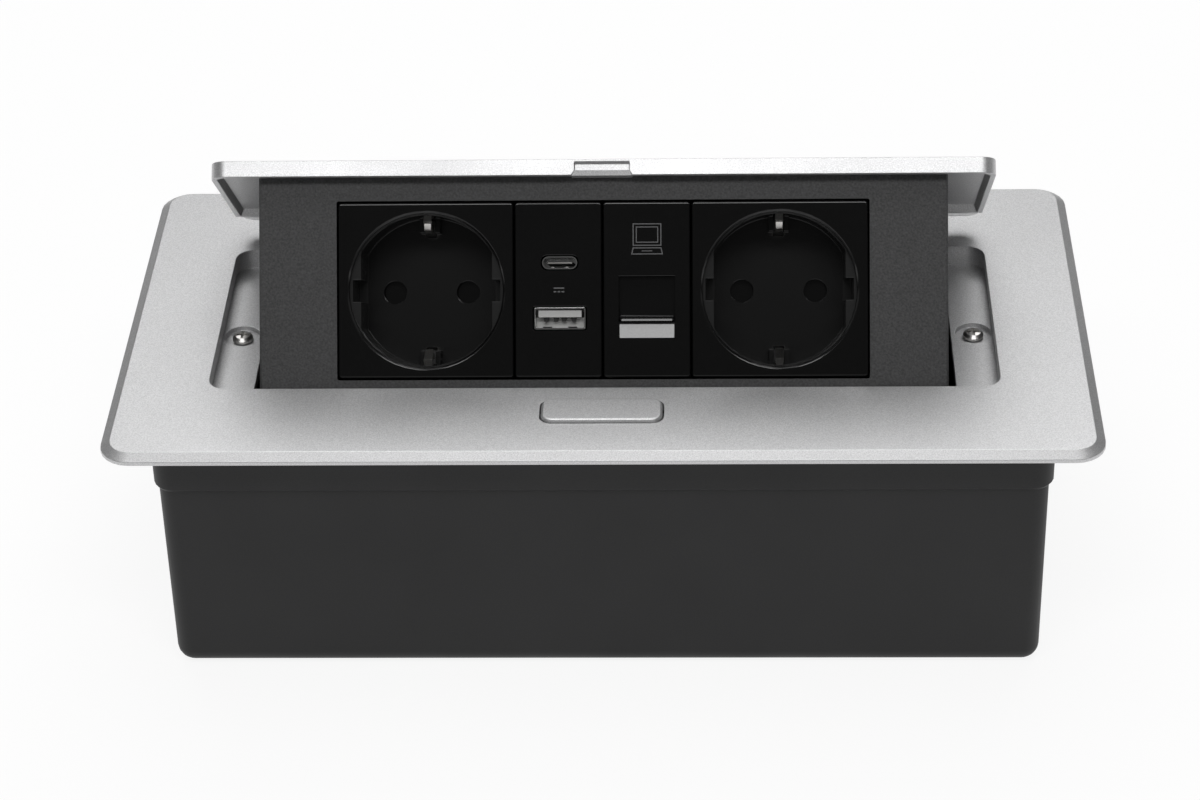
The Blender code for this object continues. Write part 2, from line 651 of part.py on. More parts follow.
def make_latch_carrier(plastic, parent):
    """Moulded cradle screwed under the frame, which guides the latch and backs the button's springs."""
    outer = BUTTON_WIDTH / 2 + BUTTON_WING + CARRIER_WALL
    back = OPENING_FRONT - CARRIER_WALL
    front = BUTTON_Y - BUTTON_DEPTH / 2 - CARRIER_WALL
    bottom = LATCH_FLOOR - CARRIER_FLOOR
    carrier = piece("latch_carrier", block((-outer, front, bottom), (outer, back, LATCH_FLOOR)), plastic, parent)
    walls = bmesh.new()
    for side in (-1, 1):
        ends = sorted((side * (outer - CARRIER_WALL + GAP), side * outer))
        block((ends[0], front, bottom + GAP), (ends[1], back, FRAME_UNDERSIDE - GAP), walls)
    join(carrier, walls)
    tabs = bmesh.new()
    for side in (-1, 1):
        ends = sorted((side * (outer - CARRIER_WALL), side * (outer + CARRIER_TAB)))
        block((ends[0], BUTTON_Y - BUTTON_DEPTH / 3, bottom), (ends[1], BUTTON_Y + BUTTON_DEPTH / 3, LATCH_FLOOR), tabs)
    join(carrier, tabs)
    guides = bmesh.new()
    for side in (-1, 1):
        ends = sorted((side * (TONGUE_WIDTH / 2 + GAP), side * (TONGUE_WIDTH / 2 + GAP + CARRIER_WALL / 2)))
        block((ends[0], front, bottom + GAP), (ends[1], back, -LATCH_PLATE_TOP), guides)
    join(carrier, guides)
    holes = bmesh.new()
    for side in (-1, 1):
        prism(circle(TAB_SCREW_RADIUS + GAP, (side * TAB_SCREW_X, BUTTON_Y), 16), bottom - GAP, LATCH_FLOOR + GAP, holes)
    cut(carrier, holes)
    tip_y = BUTTON_Y + BLADE_TIP + -LATCH_PLATE_TOP - LATCH_PLATE_THICKNESS / 2
    cut(carrier, block((-BLADE_WIDTH / 2 - GAP, tip_y - 2 * BLADE_THICKNESS, bottom - GAP),
                       (BLADE_WIDTH / 2 + GAP, tip_y + 1.5 * BLADE_THICKNESS, LATCH_FLOOR + GAP)))


def make_button_springs(steel, parent):
    top = FRAME_UNDERSIDE - GAP - BUTTON_WING_THICKNESS - GAP - BUTTON_SPRING_WIRE
    bottom = LATCH_FLOOR + GAP + BUTTON_SPRING_WIRE
    turns = 4
    for name, side in (("button_spring_left", -1), ("button_spring_right", 1)):
        shape = coil(BUTTON_SPRING_RADIUS, BUTTON_SPRING_WIRE, turns, (top - bottom) / turns, steps=9, sides=4)
        piece(name, shape, steel, parent, (side * BUTTON_SPRING_X, BUTTON_Y, bottom))


def make_gland(rubber, parent):
    """Grommet in the back wall, with its bore left open."""
    groove = HOUSING_WALL + 2 * GAP
    inner = -groove - GLAND_RIM
    profile = [(GLAND_BORE, inner), (GLAND_RIM_RADIUS, inner), (GLAND_RIM_RADIUS, -groove), (GLAND_RADIUS, -groove),
               (GLAND_RADIUS, 0), (GLAND_RIM_RADIUS, 0), (GLAND_RIM_RADIUS, GLAND_RIM * 0.7),
               (GLAND_RADIUS * 0.86, GLAND_RIM), (GLAND_RADIUS * 0.7, GLAND_RIM + GLAND_NOSE),
               (GLAND_BORE, GLAND_RIM + GLAND_NOSE)]
    place = (GLAND_X, HOUSING_BACK + GAP, -GLAND_DROP)
    piece("cable_gland", turned(profile, 28), rubber, parent, place, (-math.pi / 2, 0, 0))


def make_pivot_pin(name, side, steel, parent):
    outer = CARRIAGE_HALF + BRACKET_GAP + BRACKET_THICKNESS + GAP
    profile = [(0, -PIN_LENGTH), (PIN_RADIUS * 0.8, -PIN_LENGTH), (PIN_RADIUS, -PIN_LENGTH + PIN_RADIUS / 4),
               (PIN_RADIUS, 0), (PIN_HEAD_RADIUS, 0), (PIN_HEAD_RADIUS, PIN_HEAD_LENGTH), (0, PIN_HEAD_LENGTH)]
    place = (side * outer, 0, -PIVOT_DROP)
    piece(name, turned(profile, 20), steel, parent, place, (0, side * math.pi / 2, 0))


def make_hinge_spring(name, side, steel, parent):
    """Torsion spring round the pin, with one leg on the housing's back wall and one under the unit."""
    start = CARRIAGE_HALF - CARRIAGE_WALL - GAP - HINGE_SPRING_WIRE
    leg = HOUSING_BACK - HOUSING_WALL - GAP - HINGE_SPRING_WIRE
    length = HINGE_SPRING_TURNS * HINGE_SPRING_PITCH
    lead_in = [(HINGE_SPRING_RADIUS, -leg, 0)]
    lead_out = [(HINGE_SPRING_RADIUS, leg * 0.6, length)]
    shape = coil(HINGE_SPRING_RADIUS, HINGE_SPRING_WIRE, HINGE_SPRING_TURNS, HINGE_SPRING_PITCH, lead_in, lead_out)
    onto_x = Matrix(((0, 0, 1, 0), (0, -1, 0, 0), (1, 0, 0, 0), (0, 0, 0, 1)))
    bmesh.ops.transform(shape, verts=shape.verts, matrix=onto_x)
    if side > 0:
        bmesh.ops.scale(shape, verts=shape.verts, vec=(-1, 1, 1))
        bmesh.ops.reverse_faces(shape, faces=shape.faces)
    piece(name, shape, steel, parent, (side * start, 0, -PIVOT_DROP))


def opened(y, z):
    """A point given from the hinge line in the open pose, in the swing frame."""
    turn_cos, turn_sin = math.cos(OPEN_ANGLE), math.sin(OPEN_ANGLE)
    return (y * turn_cos - z * turn_sin, y * turn_sin + z * turn_cos)


def tray_outline(width, depth, radius, centre):
    """Outline of the lid's tray: round corners in front, nearly square ones at the cross rib."""
    front = rounded_rectangle(width, depth, radius, centre)
    back = rounded_rectangle(width, depth, radius / 8, centre)
    half = len(front) // 2
    return back[:half] + front[half:]


def make_lid(finish, swing):
    """Cast lid: a shallow tray over the fascia and a thin plate behind its cross rib."""
    top = PIVOT_DROP
    bottom = top - LID_RIM_HEIGHT
    back = OPENING_BACK - LID_BACK_GAP
    centre = (0, (back - LID_REACH) / 2)
    depth = back + LID_REACH
    outline = rounded_rectangle(2 * LID_HALF, depth, LID_CORNER_RADIUS, centre)
    lid = piece("lid", prism(outline, bottom, top), finish, swing)

    tray_back = -LID_REACH + LID_TRAY_LENGTH
    tray_depth = LID_TRAY_LENGTH - 2 * LID_RIM_WIDTH
    tray_centre = (0, tray_back - LID_RIM_WIDTH - tray_depth / 2)
    tray_half = LID_HALF - LID_RIM_WIDTH
    wide = tray_outline(2 * tray_half, tray_depth, LID_CORNER_RADIUS - LID_RIM_WIDTH, tray_centre)
    narrow = tray_outline(2 * (tray_half - LID_TRAY_LEAN), tray_depth - 2 * LID_TRAY_LEAN,
                          LID_CORNER_RADIUS - LID_RIM_WIDTH, tray_centre)
    roof = bottom + LID_TRAY_DEPTH
    cut(lid, loft([at_height(wide, bottom - LID_RIM_WIDTH), at_height(wide, bottom), at_height(narrow, roof)]))

    under = top - LID_BACK_THICKNESS
    profile = [(tray_back, bottom - LID_RIM_WIDTH), (back + LID_RIM_WIDTH, bottom - LID_RIM_WIDTH),
               (back + LID_RIM_WIDTH, under + 2 * LID_BACK_CHAMFER + LID_RIM_WIDTH - LID_BACK_CHAMFER),
               (back - LID_BACK_CHAMFER, under), (tray_back, under)]
    cut(lid, side_prism(profile, -LID_HALF - LID_RIM_WIDTH, LID_HALF + LID_RIM_WIDTH))

    boss_back = -LID_REACH + LID_OVERHANG - 2 * GAP
    join(lid, block((-KEEPER_WIDTH / 2 - LID_RIM_WIDTH / 2, -LID_REACH + LID_RIM_WIDTH / 2, bottom),
                    (KEEPER_WIDTH / 2 + LID_RIM_WIDTH / 2, boss_back, roof + GAP)))
    half = KEEPER_WIDTH / 2
    slot_top = top - KEEPER_TOP
    slot_bottom = slot_top - KEEPER_HEIGHT
    cut(lid, block((-half, -LID_REACH - LID_RIM_WIDTH, slot_bottom), (half, -LID_REACH + KEEPER_DEPTH, slot_top)))
    flare = half + KEEPER_RAMP
    level = [(-half, -LID_REACH), (half, -LID_REACH), (half, -LID_REACH - LID_RIM_WIDTH), (-half, -LID_REACH - LID_RIM_WIDTH)]
    low = [(-flare, -LID_REACH + KEEPER_RAMP), (flare, -LID_REACH + KEEPER_RAMP),
           (flare, -LID_REACH - LID_RIM_WIDTH), (-flare, -LID_REACH - LID_RIM_WIDTH)]
    cut(lid, loft([at_height(low, bottom - GAP), at_height(level, slot_bottom)]))


def make_fascia(paint_finish, panel):
    """Panel plate with one window for the module field."""
    top = MODULE / 2 + TOP_MARGIN + (LID_TRAY_DEPTH - GAP) / math.cos(FASCIA_LEAN) - FASCIA_THICKNESS * math.tan(FASCIA_LEAN)
    foot = -MODULE / 2 - BOTTOM_MARGIN
    half = FASCIA_WIDTH / 2
    edge = FASCIA_THICKNESS / 4
    full = rectangle(-half, half, foot, top)
    front = rectangle(-half + edge, half - edge, foot + edge, top)
    fascia = piece("fascia", loft([at_height(full, -FASCIA_THICKNESS), at_height(full, -edge), at_height(front, 0)]),
                   paint_finish, panel)
    window = rounded_rectangle(FIELD_WIDTH + 2 * GAP, MODULE + 2 * GAP, FASCIA_THICKNESS / 4, steps=3)
    cut(fascia, prism(window, -2 * FASCIA_THICKNESS, FASCIA_THICKNESS))


def in_panel(v, n):
    """A point of the fascia's frame, up v and out n, in the swing frame's Y and Z."""
    point = PANEL + UP * v + OUT * n
    return (point.x, point.y)


def carriage_outline(wall, front, back):
    """Side outline of the carriage in the swing frame, set in by a wall."""
    roof = PIVOT_DROP - LID_RIM_HEIGHT + LID_TRAY_DEPTH - GAP
    foot = -MODULE / 2 - BOTTOM_MARGIN + wall

    def under_roof(n):
        height = (roof - wall / math.cos(FASCIA_LEAN) - PANEL.y - OUT.y * n) / UP.y
        return in_panel(height, n)

    return [in_panel(foot, front), in_panel(foot, back), under_roof(back), under_roof(front)]


def make_carriage(plastic, swing):
    """Moulded sleeve behind the fascia, with two hinge arms, two stop lips and screw posts."""
    front = -FASCIA_THICKNESS - GAP
    back = -CARRIAGE_DEPTH
    outer = carriage_outline(0.0, front, back)
    carriage = piece("carriage", side_prism(outer, -CARRIAGE_HALF, CARRIAGE_HALF), plastic, swing)
    inner_half = CARRIAGE_HALF - CARRIAGE_WALL
    cut(carriage, side_prism(carriage_outline(CARRIAGE_WALL, front + CARRIAGE_WALL, back - CARRIAGE_WALL),
                             -inner_half, inner_half))

    root_top = in_panel(MODULE / 2 - ARM_BOSS_RADIUS, back + CARRIAGE_WALL)
    root_foot = in_panel(-ARM_BOSS_RADIUS, back + CARRIAGE_WALL)
    neck = -BACK_EDGE_TO_PIVOT - PIVOT_DROP / 2
    arc = [math.radians(200 + 250 * i / 12) for i in range(13)]
    boss = [(ARM_BOSS_RADIUS * math.cos(a), ARM_BOSS_RADIUS * math.sin(a)) for a in arc]
    arm = [root_foot] + boss + [(-ARM_BOSS_RADIUS, -2 * GAP), (neck, -2 * GAP), root_top]
    arms = bmesh.new()
    for side in (-1, 1):
        ends = sorted((side * inner_half, side * CARRIAGE_HALF))
        side_prism(arm, ends[0], ends[1], arms)
    join(carriage, arms)
    bores = bmesh.new()
    for side in (-1, 1):
        ends = sorted((side * (inner_half - GAP), side * (CARRIAGE_HALF + GAP)))
        side_prism(circle(PIN_RADIUS + GAP, (0, 0), 20), ends[0], ends[1], bores)
    cut(carriage, bores)

    pegs = bmesh.new()
    height = HINGE_SPRING_RADIUS + HINGE_SPRING_WIRE + GAP + PEG_RADIUS
    peg_end = inner_half - HINGE_SPRING_TURNS * HINGE_SPRING_PITCH - 4 * HINGE_SPRING_WIRE
    for side in (-1, 1):
        ends = sorted((side * (inner_half + CARRIAGE_WALL / 2), side * peg_end))
        side_prism(circle(PEG_RADIUS, opened(-PEG_FORWARD, height), 12), ends[0], ends[1], pegs)
    join(carriage, pegs)

    slope = math.tan(OPEN_ANGLE - FASCIA_LEAN)
    foot = -MODULE / 2 - BOTTOM_MARGIN
    depth_below = (GAP - FRAME_UNDERSIDE - FASCIA_SINK) / math.cos(OPEN_ANGLE - FASCIA_LEAN)

    def stop_face(n):
        return in_panel(foot - depth_below - slope * n, n)

    tip = STOP_REACH - FASCIA_THICKNESS
    root = -FASCIA_THICKNESS - 2 * STOP_THICKNESS
    lower = in_panel(foot - depth_below - slope * tip - STOP_THICKNESS, tip)
    corner = in_panel(foot - depth_below - STOP_THICKNESS, -FASCIA_THICKNESS)
    top_root = in_panel(foot + CARRIAGE_WALL / 2, root)
    top_front = in_panel(foot + CARRIAGE_WALL / 2, front - GAP)
    below_front = stop_face(front - GAP)
    lip = [stop_face(tip), lower, corner, in_panel(foot, root), top_root, top_front, below_front]
    lips = bmesh.new()
    for side in (-1, 1):
        ends = sorted((side * STOP_INNER_X, side * STOP_OUTER_X))
        side_prism(lip, ends[0], ends[1], lips)
    join(carriage, lips)
    return carriage


def make_rear_cover(plastic, panel):
    """Plate that closes the back of the carriage, with a slot for the leads."""
    back = -CARRIAGE_DEPTH
    half = CARRIAGE_HALF - CARRIAGE_WALL - GAP
    foot = -MODULE / 2 - BOTTOM_MARGIN + CARRIAGE_WALL + GAP
    roof = PIVOT_DROP - LID_RIM_HEIGHT + LID_TRAY_DEPTH - GAP
    top = (roof - PANEL.y - OUT.y * back) / UP.y - CARRIAGE_WALL / math.cos(FASCIA_LEAN) ** 2 - GAP
    outline = rounded_rectangle(2 * half, top - foot, CARRIAGE_WALL / 2, (0, (top + foot) / 2), 3)
    cover = piece("rear_cover", prism(outline, back, back + COVER_THICKNESS), plastic, panel)
    slot_centre = (0, foot + CARRIAGE_WALL + LEAD_SLOT_HEIGHT / 2)
    slot = rounded_rectangle(LEAD_SLOT_WIDTH, LEAD_SLOT_HEIGHT, LEAD_SLOT_RADIUS, slot_centre, 4)
    cut(cover, prism(slot, back - COVER_THICKNESS, back + 2 * COVER_THICKNESS))


def well_outline():
    """Outline of a socket's recess below its rim: a circle with a grooved guide lug at each side."""
    radius = WELL_RADIUS - WELL_STEP
    start = math.acos(LUG_FLAT / radius)
    steps = 20
    points = []
    for side in (1, -1):
        edge = side * LUG_FLAT
        deep = side * LUG_GROOVE_REACH
        half = LUG_GROOVE / 2
        points += [(edge, -side * half), (deep, -side * half), (deep, side * half), (edge, side * half)]
        for i in range(steps + 1):
            angle = start + (math.pi - 2 * start) * i / steps
            points.append((side * radius * math.cos(angle), side * radius * math.sin(angle)))
    return points


def module_plate(width, height):
    """Front plate of a module, with a fine bevel round its face."""
    full = rounded_rectangle(width, height, MODULE_EDGE * 2, steps=2)
    face = rounded_rectangle(width - 2 * MODULE_EDGE, height - 2 * MODULE_EDGE, MODULE_EDGE, steps=2)
    return loft([at_height(full, -MODULE_PLATE), at_height(full, MODULE_PROUD - MODULE_EDGE),
                 at_height(face, MODULE_PROUD)])


def make_socket(prefix, x, materials, panel):
    """One earthed socket: insert with its well, base, shutter, pin sleeves and earth yoke."""
    gloss, base_plastic, steel, brass = materials
    side = MODULE - MODULE_GAP
    insert = piece(prefix + "_insert", module_plate(side, side), gloss, panel, (x, 0, 0))
    skirt_end = CUP_FLOOR_BACK - CUP_SKIRT
    join(insert, prism(circle(CUP_RADIUS, steps=48), skirt_end, -MODULE_PLATE / 2))
    mouth = circle(WELL_RADIUS, steps=48)
    wide = circle(WELL_RADIUS + WELL_CHAMFER, steps=48)
    cut(insert, loft([at_height(mouth, -WELL_MOUTH), at_height(mouth, MODULE_PROUD - WELL_CHAMFER),
                      at_height(wide, MODULE_PROUD), at_height(wide, 2 * MODULE_PROUD)]))
    cut(insert, prism(well_outline(), -WELL_DEPTH, -WELL_MOUTH + GAP))
    cut(insert, prism(circle(CUP_RADIUS - CUP_SKIRT_WALL, steps=48), skirt_end - GAP, CUP_FLOOR_BACK))
    blocks = bmesh.new()
    for end in (-1, 1):
        ys = sorted((end * CLIP_BLOCK_INNER, end * (WELL_RADIUS + GAP)))
        block((-CLIP_BLOCK_WIDTH / 2, ys[0], -WELL_DEPTH - GAP), (CLIP_BLOCK_WIDTH / 2, ys[1], -CLIP_BLOCK_FRONT), blocks)
    join(insert, blocks)
    slots = bmesh.new()
    arm = BASE_RADIUS + GAP + CLIP_THICKNESS + GAP
    for end in (-1, 1):
        ys = sorted((end * (CLIP_CREST - 2 * GAP), end * (arm + GAP)))
        block((-CLIP_WIDTH / 2 - GAP, ys[0], skirt_end - GAP), (CLIP_WIDTH / 2 + GAP, ys[1], -WELL_MOUTH - 2 * GAP), slots)
    cut(insert, slots)
    holes = bmesh.new()
    for end in (-1, 1):
        place = (end * PIN_SPACING / 2, 0)
        prism(circle(PIN_HOLE_RADIUS, place, 20), CUP_FLOOR_BACK - GAP, -WELL_DEPTH + GAP, holes)
    cut(insert, holes)

    front = CUP_FLOOR_BACK - GAP
    base = piece(prefix + "_base", prism(circle(BASE_RADIUS, steps=32), -BASE_DEPTH, front), base_plastic, panel, (x, 0, 0))
    chamber_floor = front - CHAMBER_DEPTH
    cut(base, prism(circle(CHAMBER_RADIUS, steps=32), chamber_floor, front + GAP))
    wells = bmesh.new()
    for end in (-1, 1):
        place = (end * PIN_SPACING / 2, 0)
        prism(circle(SLEEVE_RADIUS + GAP, place, 20), chamber_floor - SLEEVE_LENGTH - GAP, chamber_floor + GAP, wells)
    cut(base, wells)
    join(base, prism(circle(SHUTTER_POST, steps=16), chamber_floor - GAP, front - GAP))

    shutter_low = chamber_floor + GAP
    shutter_high = shutter_low + SHUTTER_THICKNESS
    shutter = piece(prefix + "_shutter", prism(circle(SHUTTER_HUB, steps=14), shutter_low, shutter_high),
                    gloss, panel, (x, 0, 0))
    bar = SHUTTER_HUB * 0.8
    join(shutter, block((-PIN_SPACING / 2, -bar, shutter_low), (PIN_SPACING / 2, bar, shutter_high)))
    discs = bmesh.new()
    for end in (-1, 1):
        prism(circle(SHUTTER_DISC, (end * PIN_SPACING / 2, 0), 16), shutter_low, shutter_high, discs)
    join(shutter, discs)
    cut(shutter, prism(circle(SHUTTER_POST + GAP, steps=16), shutter_low - GAP, shutter_high + GAP))

    for name, end in (("_pin_sleeve_left", -1), ("_pin_sleeve_right", 1)):
        slit = math.radians(14)
        angles = [slit + (2 * math.pi - 2 * slit) * i / 20 for i in range(21)]
        outside = [(SLEEVE_RADIUS * math.cos(a), SLEEVE_RADIUS * math.sin(a)) for a in angles]
        inside = [(SLEEVE_BORE * math.cos(a), SLEEVE_BORE * math.sin(a)) for a in reversed(angles)]
        top = chamber_floor - GAP
        piece(prefix + name, prism(outside + inside, top - SLEEVE_LENGTH + GAP, top), brass, panel,
              (x + end * PIN_SPACING / 2, 0, 0))

    line = BASE_RADIUS + GAP + CLIP_THICKNESS / 2
    web = -BASE_DEPTH - GAP - CLIP_THICKNESS / 2
    crest = CLIP_CREST + CLIP_THICKNESS / 2
    half_path = [(line - CLIP_FOOT_SETBACK, -CLIP_FOOT_DEPTH), (crest, -CLIP_CREST_DEPTH),
                 (line - CLIP_BROW_SETBACK, -CLIP_BROW_DEPTH), (line, -CLIP_HOOK_DEPTH), (line, web)]
    path = half_path + [(-y, z) for y, z in reversed(half_path)]
    strip = ribbon(path, CLIP_THICKNESS)
    piece(prefix + "_earth_yoke", side_prism(strip, -CLIP_WIDTH / 2, CLIP_WIDTH / 2), steel, panel, (x, 0, 0))


def half_module(name, x, depth, gloss, panel):
    """Front plate and hollow body of a half-width module."""
    width = MODULE / 2 - MODULE_GAP
    height = MODULE - MODULE_GAP
    module = piece(name, module_plate(width, height), gloss, panel, (x, 0, 0))
    half_x = width / 2 - BODY_INSET_X
    half_y = height / 2 - BODY_INSET_Y
    join(module, block((-half_x, -half_y, -depth), (half_x, half_y, -MODULE_PLATE / 2)))
    cut(module, block((-half_x + BODY_WALL, -half_y + BODY_WALL, -depth - GAP),
                      (half_x - BODY_WALL, half_y - BODY_WALL, -MODULE_PLATE)))
    return module, half_x, half_y


def tube_shell(outer, inner, back, front, floor):
    """A thin metal shell with one open end, as one closed solid."""
    return loft([at_height(outer, back), at_height(outer, front), at_height(inner, front), at_height(inner, back + floor)])


def make_usb(materials, panel):
    """USB charger module: plate, two ports with their shells and tongues, board and converter."""
    gloss, shell, white, board_green, base_plastic = materials
    x = -MODULE / 4
    module, half_x, half_y = half_module("usb_module", x, USB_BODY_DEPTH, gloss, panel)
    a_place = (USB_PORT_X, USB_A_Y)
    c_place = (USB_PORT_X, USB_C_Y)
    ports = bmesh.new()
    prism(rounded_rectangle(USB_A_WIDTH + 2 * GAP, USB_A_HEIGHT + 2 * GAP, GAP * 2, a_place, 2),
          -MODULE_PLATE - GAP, MODULE_PROUD + GAP, ports)
    prism(rounded_rectangle(USB_C_WIDTH + 2 * GAP, USB_C_HEIGHT + 2 * GAP, USB_C_HEIGHT / 2, c_place, 6),
          -MODULE_PLATE - GAP, MODULE_PROUD + GAP, ports)
    cut(module, ports)

    back = -USB_BOARD_DEPTH + GAP
    front = MODULE_PROUD - GAP
    outer = rounded_rectangle(USB_A_WIDTH, USB_A_HEIGHT, GAP * 1.5, a_place, 2)
    inner = rounded_rectangle(USB_A_WIDTH - 2 * USB_A_WALL, USB_A_HEIGHT - 2 * USB_A_WALL, GAP / 2, a_place, 2)
    piece("usb_a_shell", tube_shell(outer, inner, back, front, USB_A_WALL), shell, panel, (x, 0, 0))
    top = USB_A_Y + USB_A_HEIGHT / 2 - USB_A_WALL - GAP
    floor = back + USB_A_WALL + GAP
    piece("usb_a_tongue", block((USB_PORT_X - USB_A_TONGUE_WIDTH / 2, top - USB_A_TONGUE_HEIGHT, floor),
                                (USB_PORT_X + USB_A_TONGUE_WIDTH / 2, top, front - 3 * GAP)), white, panel, (x, 0, 0))
    outer = rounded_rectangle(USB_C_WIDTH, USB_C_HEIGHT, USB_C_HEIGHT / 2.02, c_place, 6)
    inner = rounded_rectangle(USB_C_WIDTH - 2 * USB_C_WALL, USB_C_HEIGHT - 2 * USB_C_WALL,
                              USB_C_HEIGHT / 2.02 - USB_C_WALL, c_place, 6)
    piece("usb_c_shell", tube_shell(outer, inner, back, front, USB_C_WALL), shell, panel, (x, 0, 0))
    piece("usb_c_tongue", block((USB_PORT_X - USB_C_TONGUE_WIDTH / 2, USB_C_Y - USB_C_TONGUE_HEIGHT / 2, back + USB_C_WALL + GAP),
                                (USB_PORT_X + USB_C_TONGUE_WIDTH / 2, USB_C_Y + USB_C_TONGUE_HEIGHT / 2, front - 3 * GAP)),
          base_plastic, panel, (x, 0, 0))

    reach_x = half_x - BODY_WALL - GAP
    reach_y = half_y - BODY_WALL - GAP
    board_back = -USB_BOARD_DEPTH - BOARD_THICKNESS
    piece("usb_board", block((-reach_x, -reach_y, board_back), (reach_x, reach_y, -USB_BOARD_DEPTH)),
          board_green, panel, (x, 0, 0))
    wide, high, deep = CONVERTER_SIZE
    core = rounded_rectangle(wide, high, wide / 8, steps=3)
    piece("usb_converter", prism(core, board_back - GAP - deep, board_back - GAP), base_plastic, panel, (x, 0, 0))
    close = -USB_BODY_DEPTH - GAP
    piece("usb_back_cover", block((-half_x, -half_y, close - BACK_PLATE), (half_x, half_y, close)),
          base_plastic, panel, (x, 0, 0))


def make_data(materials, panel):
    """Data outlet module: plate, sliding dust shutter, jack behind it and a label strip."""
    gloss, base_plastic, label = materials
    x = MODULE / 4
    module, half_x, half_y = half_module("data_module", x, DATA_BODY_DEPTH, gloss, panel)
    half = DATA_OPENING_WIDTH / 2
    cut(module, block((-half, DATA_OPENING_BOTTOM, -MODULE_PLATE - GAP), (half, DATA_OPENING_TOP, MODULE_PROUD + GAP)))
    channel = half + SHUTTER_OVERLAP + GAP
    channel_top = DATA_OPENING_TOP + SHUTTER_TRAVEL + 2 * GAP
    cut(module, block((-channel, DATA_OPENING_BOTTOM - GAP, -MODULE_PLATE - GAP), (channel, channel_top, -DATA_SKIN)))
    recess = (-LABEL_WIDTH / 2 - GAP / 2, LABEL_TOP - LABEL_HEIGHT - GAP / 2)
    cut(module, block((recess[0], recess[1], MODULE_PROUD + LABEL_PROUD - LABEL_THICKNESS - GAP),
                      (-recess[0], LABEL_TOP + GAP / 2, 2 * MODULE_PROUD)))

    shutter = piece("data_shutter", block((-half - SHUTTER_OVERLAP, DATA_OPENING_BOTTOM, SHUTTER_BACK),
                                          (half + SHUTTER_OVERLAP, DATA_OPENING_TOP, -DATA_SKIN - GAP)),
                    gloss, panel, (x, 0, 0))
    lip_foot = DATA_OPENING_BOTTOM + GAP
    lip = [(lip_foot, SHUTTER_BACK + GAP), (lip_foot + LIP_HEIGHT, SHUTTER_BACK + GAP),
           (lip_foot + LIP_HEIGHT * 0.8, LIP_REACH), (lip_foot + LIP_HEIGHT * 0.2, LIP_REACH)]
    join(shutter, side_prism(lip, -half + GAP, half - GAP))

    reach_x = half_x - BODY_WALL - GAP
    front = SHUTTER_BACK - GAP
    low = JACK_Y - JACK_HEIGHT / 2
    jack = piece("data_jack", block((-reach_x, low, front - JACK_DEPTH), (reach_x, low + JACK_HEIGHT, front - BODY_WALL)),
                 base_plastic, panel, (x, 0, 0))
    neck = (JACK_PORT_WIDTH / 2 + BODY_WALL, JACK_PORT_HEIGHT / 2 + BODY_WALL)
    port_y = (DATA_OPENING_TOP + DATA_OPENING_BOTTOM) / 2
    join(jack, block((-neck[0], port_y - neck[1], front - 2 * BODY_WALL), (neck[0], port_y + neck[1], front)))
    cut(jack, block((-JACK_PORT_WIDTH / 2, port_y - JACK_PORT_HEIGHT / 2, front - JACK_DEPTH + 2 * BODY_WALL),
                    (JACK_PORT_WIDTH / 2, port_y + JACK_PORT_HEIGHT / 2, front + GAP)))
    piece("label_strip", block((-LABEL_WIDTH / 2, LABEL_TOP - LABEL_HEIGHT, MODULE_PROUD + LABEL_PROUD - LABEL_THICKNESS),
                               (LABEL_WIDTH / 2, LABEL_TOP, MODULE_PROUD + LABEL_PROUD)), label, panel, (x, 0, 0))


